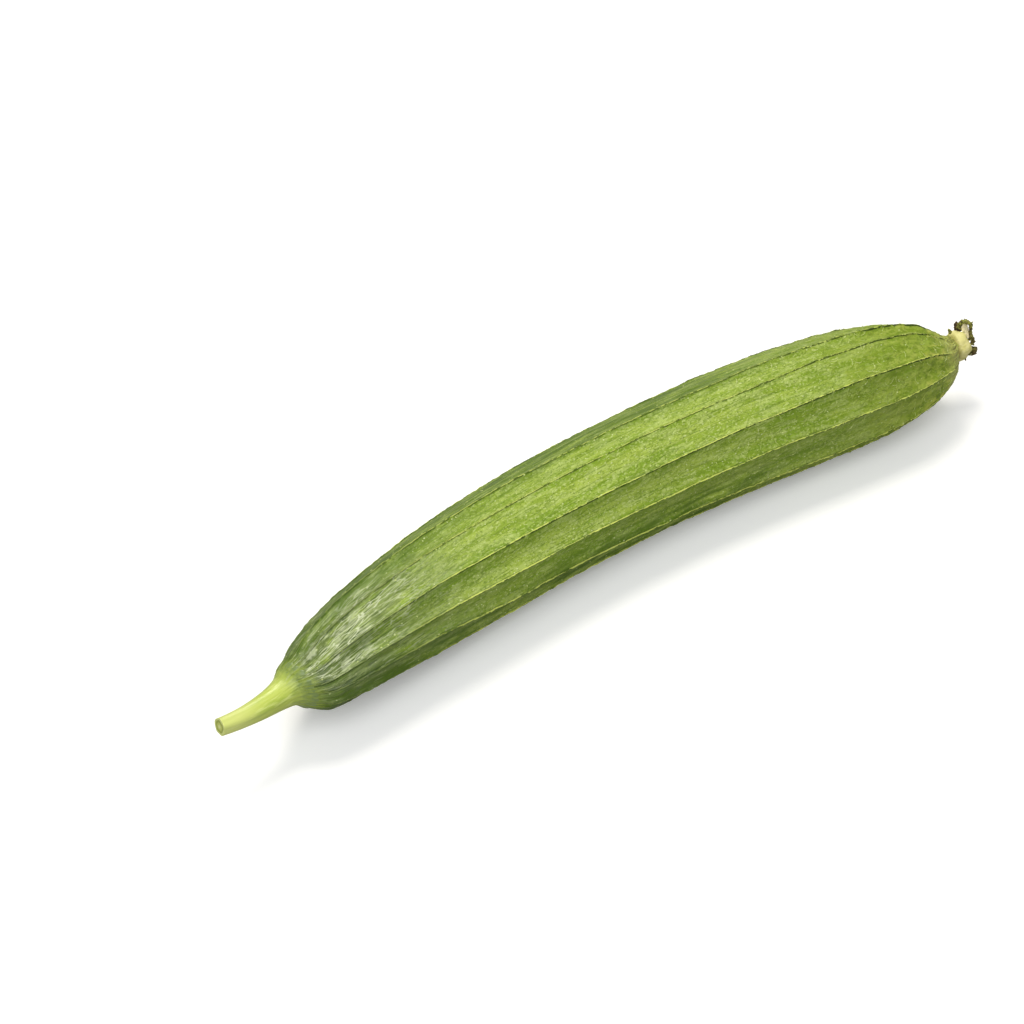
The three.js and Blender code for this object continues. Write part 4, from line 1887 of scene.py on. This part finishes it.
@dataclass
class WitheredFlower:
    """What is left of the flower on the knob: sepals, a shrivelled corolla and the style.

    Routes are places on the knob, as on_knob() takes them.
    """

    rim: Matrix
    sepals: tuple[Sepal, ...] = (
        Sepal(137, 6.4, -3.3, 80, 30, 1.6, 1.7, 0.8), Sepal(137, 5.4, -0.2, 78, -25, 3.9, 2.5),
        Sepal(-26, 4.2, -0.6, -55, 260, 5, 3.4, 0.45), Sepal(-42, 6.0, -3, 95, 20, 0.9, 1),
        Sepal(215, 5.3, 0.5, 30, 120, 4.2, 2.2, 0.3),
    )
    sepal_flatness: float = 0.8
    sepal_root: float = 1.3
    sepal_outline: tuple[tuple[float, float], ...] = ((0, 0.35), (0.3, 0.5), (0.7, 0.4), (1, 0.15))
    corolla_route: tuple[tuple[float, float, float], ...] = (
        (129, 5.4, 0.3), (127, 7.0, 0.9), (119, 8.0, 1.9), (111, 8.1, 3.0), (103, 7.6, 3.7), (97, 6.5, 3.9),
        (92, 5.3, 3.6), (83, 4.2, 2.9), (64, 3.8, 2.4), (44, 3.8, 2.3), (22, 3.4, 1.6), (4, 3.4, 1.2),
    )
    petal_route: tuple[tuple[float, float, float], ...] = (
        (66, 2.6, 1.0), (87, 3.3, 1.5), (104, 4.3, 1.8), (112, 5.7, 2.1), (114, 7.4, 2.4),
    )
    petal_width: float = 1.5
    petal_thickness: float = 0.35
    corolla_radius: float = 0.88
    style_height: float = 5.4
    style_radius: float = 0.75
    style_foot: float = -0.8
    style_outline: tuple[tuple[float, float], ...] = ((0, 1), (0.5, 0.7), (0.9, 1), (1, 0.6))
    shreds_per_mm2: float = 0.36
    shred_size: tuple[float, float, float] = (0.75, 0.48, 0.2)
    shred_crumple: float = 1.3
    columns: int = 28

    def _tube(
        self, name: str, route: np.ndarray, across: Sequence[float],
        wide: Form, thick: Form, fresh: Form, finish: Material,
    ) -> Object:
        """Builds a flattened tube along a route.

        Args:
            name: The piece's name.
            route: Evenly spaced points on its middle.
            across: Its wide direction.
            wide: Half its width at a share of the route and a turn round it.
            thick: Half its thickness there.
            fresh: How fresh it still is there.
            finish: Its material.

        Returns:
            The piece.
        """
        across = np.tile(np.array(across), (len(route), 1))
        headings = np.gradient(route, axis=0)
        headings /= np.linalg.norm(headings, axis=1)[:, None]
        through = np.cross(headings, across)
        through /= np.linalg.norm(through, axis=1)[:, None]
        across = np.cross(through, headings)
        turns = np.linspace(0, math.tau, self.columns, endpoint=False)
        count = len(route)
        rings, freshness, lengthwise = [], [], []
        for i in range(count):
            share = i / (count - 1)
            flat = np.array([wide(share, turn) * math.cos(turn) for turn in turns])
            deep = np.array([thick(share, turn) * math.sin(turn) for turn in turns])
            rings.append(route[i] + flat[:, None] * across[i] + deep[:, None] * through[i])
            freshness.append([fresh(share, turn) for turn in turns])
            lengthwise.append(np.stack([np.full(self.columns, share * count * 0.2), flat, deep], axis=1))
        first, last = (np.repeat(end, self.columns, 0) for end in (route[:1], route[-1:]))
        rings = np.array([first, *rings, last])
        freshness = np.array([freshness[0], *freshness, freshness[-1]])
        lengthwise = np.array([lengthwise[0], *lengthwise, lengthwise[-1]])
        placed = rings @ np.array(self.rim.to_3x3()).T + np.array(self.rim.translation)
        return skin(name, placed, finish, skin=lengthwise, fresh=freshness)

    def _build_sepal(self, number: int, sepal: Sepal, finish: Material, steps: int = 12) -> Object:
        """Builds one sepal's skin.

        Args:
            number: Its number, from 0.
            sepal: Its sizes.
            finish: Its material.
            steps: How many steps its curl is drawn in.

        Returns:
            The skin.
        """
        widths = np.array(self.sepal_outline)
        outward = on_knob(sepal.at, 1, 0)
        points = [on_knob(sepal.at, sepal.out, sepal.height)]
        for i in range(steps):
            tilt = math.radians(sepal.lean + sepal.curl * (i + 0.5) / steps)
            step = outward * math.sin(tilt) + Vector((0, math.cos(tilt), 0))
            points.append(points[-1] + step * (sepal.length / steps))
        root = points[0] + (points[0] - points[1]).normalized() * self.sepal_root
        route = smooth_route([root, *points], 38)

        def wide(share: float, turn: float) -> float:
            """Finds half the sepal's width, with a ragged edge.

            Args:
                share: The share of the way along it.
                turn: The angle round it, in radians.

            Returns:
                Half the width.
            """
            half = float(np.interp(share, widths[:, 0], widths[:, 1])) * sepal.width
            ragged = 1 + 0.3 * rough((share * 6, math.cos(turn) * 1.5, number * 9), 1.0, 4)
            return half * ragged * (0.15 + 0.85 * blunt((share - 0.86) / 0.14, 0.0))

        def thick(share: float, turn: float) -> float:
            """Half its thickness, crumpled."""
            crumple = rough((share * 9, math.cos(turn) * 3, math.sin(turn) + number * 5), 1.0, 6)
            return wide(share, turn) * self.sepal_flatness * (1 + 0.6 * crumple)

        def fresh(share: float, _: float) -> float:
            """How fresh it still is, driest at its tip."""
            return sepal.fresh - 0.3 * share

        across = outward.cross(Vector((0, 1, 0)))
        return self._tube(f"sepal_skin_{number + 1}", route, across, wide, thick, fresh, finish)

    def build_sepals(self, finish: Material) -> list[Object]:
        """Builds the sepals' skins, in the order of their solids."""
        return [self._build_sepal(number, sepal, finish) for number, sepal in enumerate(self.sepals)]

    def build_corolla(self, finish: Material) -> Object:
        """Builds the shrivelled corolla's skin.

        Args:
            finish: Its material.

        Returns:
            The skin.
        """
        route = smooth_route([on_knob(*place) for place in self.corolla_route], 120)

        def wide(share: float, turn: float) -> float:
            """Crumples the rope, which has a lump at each end and is thinner past the loop.

            Args:
                share: The share of the way along it.
                turn: The angle round it, in radians.

            Returns:
                Half its width.
            """
            left = min(share, 1 - share)
            lump = 0.25 * math.exp(-((left / 0.05) ** 2))
            folds = 0.55 * rough(round_place(share * 26, 1.4, turn), 1.0, 21)
            folds += 0.2 * rough(round_place(share * 50, 3, turn), 1.0, 17)
            thinner = 1 - 0.3 * clamped((share - 0.35) / 0.2)
            return self.corolla_radius * thinner * (1 + lump + folds) * blunt(1 - left / 0.03)

        def fresh(share: float, turn: float) -> float:
            """Olive on the loop, brown at its root and beyond it."""
            loop = max(0.0, 1 - max(0.0, share - 0.5) / 0.12) * min(share / 0.12, 1.0)
            return max(loop * (0.62 + 0.14 * math.cos(turn)), 0.3)

        return self._tube("corolla_skin", route, (0.0, 0.35, 1.0), wide, wide, fresh, finish)

    def build_petal(self, finish: Material) -> Object:
        """Builds the petal whose cream inside still shows in the corolla's loop.

        Args:
            finish: Its material.

        Returns:
            The skin.
        """
        route = smooth_route([on_knob(*place) for place in self.petal_route], 50)

        def wide(share: float, turn: float) -> float:
            """Half the petal's width, with a ragged edge."""
            ragged = 1 + 0.25 * rough((share * 8, math.cos(turn) * 1.5, 3), 1.0, 41)
            return self.petal_width * blunt((share - 0.8) / 0.2) * ragged

        def thick(share: float, turn: float) -> float:
            """Half its thickness, folded."""
            return self.petal_thickness * (1 + 0.5 * rough((share * 9, math.cos(turn) * 4, 1), 1.0, 43))

        return self._tube("petal_skin", route, (0.0, 1.0, 0.0), wide, thick, lambda share, turn: 1.2, finish)

    def build_shreds(self, pieces: Iterable[Object], finish: Material) -> Object:
        """Scatters crumpled shreds of petal over the withered pieces.

        Args:
            pieces: The pieces that they cling to.
            finish: Their material.

        Returns:
            The shreds.
        """
        gathered = bmesh.new()
        for piece in pieces:
            gathered.from_mesh(piece.data)
        under = bpy.data.meshes.new("withered_pieces")
        gathered.to_mesh(under)
        gathered.free()
        sizes = {"Density": self.shreds_per_mm2 / MM**2, "Crumple": self.shred_crumple, "Seed": 5}
        recipe = Recipe("flower_shreds", sizes, finish)
        make, given = recipe.add, recipe.given
        points = make(SCATTER, given["Geometry"], None, given["Density"], given["Seed"])
        ball = make("GeometryNodeMeshIcoSphere", 1.0, 2)
        folds = make(NOISE, None, named={"Scale": 1.3, "Detail": 2.0}).outputs["Color"]
        folds = make(VECTOR_MATH, folds, (0.5, 0.5, 0.5), operation="SUBTRACT")
        folds = make(VECTOR_MATH, folds, given["Crumple"], operation="SCALE")
        scrap = make(SET_POSITION, ball, None, None, folds)
        lying = make(RANDOM, (0, 0, 0), (math.tau,) * 3, None, given["Seed"], data_type="FLOAT_VECTOR")
        bigger = make(RANDOM, 0.5, 1.3, None, given["Seed"])
        size = make(VECTOR_MATH, tuple(side * MM for side in self.shred_size), bigger, operation="SCALE")
        placed = {"Rotation": lying, "Scale": size}
        shreds = make("GeometryNodeInstanceOnPoints", points, None, scrap, named=placed)
        loose = make("GeometryNodeRealizeInstances", shreds)
        spot = make(VECTOR_MATH, make("GeometryNodeInputPosition"), 1 / MM, operation="SCALE")
        loose = make(STORE, loose, None, "skin", spot, data_type="FLOAT_VECTOR", domain="POINT")
        recipe.end(make("GeometryNodeSetShadeSmooth", loose))
        return recipe.run("flower_shreds", under)

    def build_style(self, finish: Material) -> Object:
        """Builds the withered style's skin.

        Args:
            finish: Its material.

        Returns:
            The skin.
        """
        foot = on_knob(0, 0, self.style_foot)
        route = smooth_route([foot, foot + Vector((0, self.style_height, 0))], 40)
        outline = np.array(self.style_outline)

        def wide(share: float, turn: float) -> float:
            """Shrinks the style into a few furrows.

            Args:
                share: The share of the way along it.
                turn: The angle round it, in radians.

            Returns:
                Its radius.
            """
            radius = float(np.interp(share, outline[:, 0], outline[:, 1])) * self.style_radius
            furrow = 1 + 0.1 * math.cos(3 * turn + share * 2)
            return radius * (furrow + 0.2 * rough(round_place(share * 7, 1, turn), 1.0, 31))

        def fresh(share: float, _: float) -> float:
            """How fresh it still is, freshest at its tip."""
            return 0.3 + 0.4 * share

        return self._tube("style_skin", route, (1.0, 0.0, 0.0), wide, wide, fresh, finish)


# -------- the studio


@dataclass(frozen=True)
class Lamp:
    """A soft lamp.

    Attributes:
        name: Its name.
        heading: Where it stands, in degrees from the camera's right, anticlockwise seen from above.
        pitch: How high it stands, in degrees.
        distance: How far it stands from the gourd, in metres.
        size: Its side, in metres.
        power: Its power, in watts.
        tint: Its colour.
    """

    name: str
    heading: float
    pitch: float
    distance: float
    size: float
    power: float
    tint: str = "#ffffff"


@dataclass
class Studio:
    """The camera, the pale floor and the soft lamps round the gourd."""

    azimuth: float = -36.4
    elevation: float = 42.0
    distance: float = 901.5
    aside: float = -51.0
    raised: float = -1.15
    lens: float = 85.0
    floor_size: float = 3.0
    floor_tint: str = "#b0b0ac"
    floor_seen: str = "#f6f6f5"
    floor_lift: float = 0.16
    floor_fade: tuple[float, float] = (0.42, 0.8)
    lamps: tuple[Lamp, ...] = (
        Lamp("lamp_key", 112, 68, 1.1, 0.45, 7.4, "#fffaf0"),
        Lamp("lamp_front", 262, 52, 1.3, 0.9, 8.6, "#fbfcff"),
    )
    sky: float = 0.42

    def _axes(self) -> tuple[Vector, Vector, Vector]:
        """Finds the camera's axes.

        Returns:
            Its backward, right and up directions.
        """
        turn, rise = math.radians(self.azimuth), math.radians(self.elevation)
        right = Vector((math.cos(turn), math.sin(turn), 0))
        level = Vector((math.sin(turn), -math.cos(turn), 0))
        back = level * math.cos(rise) + Vector((0, 0, math.sin(rise)))
        return back, right, back.cross(right)

    def add_camera(self, centre: Vector) -> None:
        """Adds the camera.

        Args:
            centre: The middle of the fruit's arc in the part's frame, in millimetres.
        """
        back, right, up = self._axes()
        data = bpy.data.cameras.new("camera")
        data.lens = self.lens
        data.clip_start = 0.05
        camera = bpy.data.objects.new("camera", data)
        place = centre + back * self.distance + right * self.aside + up * self.raised
        turned = Matrix((right, up, back)).transposed().to_4x4()
        camera.matrix_world = Matrix.Translation(place * MM) @ turned
        bpy.context.scene.collection.objects.link(camera)
        bpy.context.scene.camera = camera

    def _floor_finish(self) -> Material:
        """Makes the floor's paper, near white to the camera but for the gourd's shadow.

        Returns:
            The material.
        """
        material = bpy.data.materials.new("paper_white_matt")
        material.use_nodes = True
        tree = material.node_tree
        tree.nodes.clear()
        seen = add(tree, "ShaderNodeLightPath").outputs["Is Camera Ray"]
        tint = add(tree, MIX, seen, linear(self.floor_tint), linear(self.floor_seen), data_type="RGBA")
        lifted = add(tree, MATH, seen, self.floor_lift, operation="MULTIPLY")
        lift = add(tree, "ShaderNodeEmission", linear("#ffffff"), lifted)
        lit = add(tree, "ShaderNodeAddShader", add(tree, "ShaderNodeBsdfDiffuse", tint), lift)

        # Beyond the shadow the camera sees plain white, so the floor has no far edge.
        away = add(tree, VECTOR_MATH, add(tree, "ShaderNodeTexCoord").outputs["Object"], operation="LENGTH")
        far = add(tree, MAP_RANGE, away.outputs["Value"], *self.floor_fade)
        far = add(tree, MATH, far, seen, operation="MULTIPLY")
        white = add(tree, "ShaderNodeEmission", linear("#ffffff"), 1.0)
        add(tree, "ShaderNodeOutputMaterial", add(tree, "ShaderNodeMixShader", far, lit, white))
        return material

    def add_floor(self, height: float) -> None:
        """Adds the pale floor.

        Args:
            height: The height of what the gourd lies on, in metres.
        """
        half = self.floor_size / 2
        corners = [(x * half, y * half, height) for x, y in ((-1, -1), (1, -1), (1, 1), (-1, 1))]
        mesh = bpy.data.meshes.new("floor")
        mesh.from_pydata(corners, [], [(0, 1, 2, 3)])
        mesh.materials.append(self._floor_finish())
        floor = bpy.data.objects.new("floor", mesh)
        bpy.context.scene.collection.objects.link(floor)
        floor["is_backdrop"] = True

    def add_lamps(self) -> None:
        """Adds the lamps."""
        _, right, _ = self._axes()
        level = Vector((-right.y, right.x, 0))
        for lamp in self.lamps:
            turn, rise = math.radians(lamp.heading), math.radians(lamp.pitch)
            toward = (right * math.cos(turn) + level * math.sin(turn)) * math.cos(rise)
            toward += Vector((0, 0, math.sin(rise)))
            data = bpy.data.lights.new(lamp.name, "AREA")
            data.shape = "SQUARE"
            data.size = lamp.size
            data.energy = lamp.power
            data.color = linear(lamp.tint)[:3]
            light = bpy.data.objects.new(lamp.name, data)
            turned = toward.to_track_quat("Z", "Y").to_matrix().to_4x4()
            light.matrix_world = Matrix.Translation(toward * lamp.distance) @ turned
            bpy.context.scene.collection.objects.link(light)

    def add_sky(self) -> None:
        """Adds a sky that is plain white to the camera, and sets how colours are viewed."""
        world = bpy.data.worlds.new("sky")
        world.use_nodes = True
        tree = world.node_tree
        tree.nodes.clear()
        seen = add(tree, "ShaderNodeLightPath").outputs["Is Camera Ray"]
        dim = add(tree, "ShaderNodeBackground", linear("#ffffff"), self.sky)
        white = add(tree, "ShaderNodeBackground", linear("#ffffff"), 1.0)
        add(tree, "ShaderNodeOutputWorld", add(tree, "ShaderNodeMixShader", seen, dim, white))
        bpy.context.scene.world = world
        bpy.context.scene.view_settings.view_transform = "Standard"


# -------- putting it together


def place_piece(piece: Object, slot: str, *nodes: str) -> None:
    """Hands a piece to the frame.

    Args:
        piece: The piece.
        slot: The name of a material slot. It is not used.
        *nodes: The solids that it stands for.
    """
    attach(piece, "root")
    if nodes:
        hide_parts(*nodes)
    log.info("%s: %d faces", piece.name, len(piece.data.polygons))


def main() -> None:
    """Builds the gourd's pieces in order, then the studio round them."""
    logging.basicConfig(level=logging.INFO, format="%(name)s: %(message)s")
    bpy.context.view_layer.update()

    fruit = Fruit()
    rind = fruit.build()
    place_piece(rind, "skin", "fruit")
    place_piece(RidgeCrests(rind.data, fruit.length).build(), "skin")
    place_piece(RindFlecks(rind.data, fruit.length).build(), "skin")

    offset = fruit.offset / MM
    stalk = Stalk(fruit)
    place_piece(stalk.build(offset), "stalk", "stem")
    knob = Knob(fruit)
    place_piece(knob.build(offset), "flower_cup", "blossom_knob")

    flower = WitheredFlower(knob.rim_frame(offset))
    dried = WitheredFinish().material()
    sepals = flower.build_sepals(dried)
    for number, sepal in enumerate(sepals, 1):
        place_piece(sepal, "withered_flower", f"sepal_{number}")
    corolla = flower.build_corolla(dried)
    place_piece(corolla, "withered_flower", "withered_corolla")
    place_piece(flower.build_petal(dried), "withered_flower")
    place_piece(flower.build_shreds((corolla, sepals[1], sepals[2]), dried), "withered_flower")
    place_piece(flower.build_style(dried), "withered_flower", "withered_style")

    studio = Studio()
    studio.add_camera(offset)
    studio.add_floor(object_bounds()[0].z)
    studio.add_lamps()
    studio.add_sky()


if __name__ == "__main__":
    main()
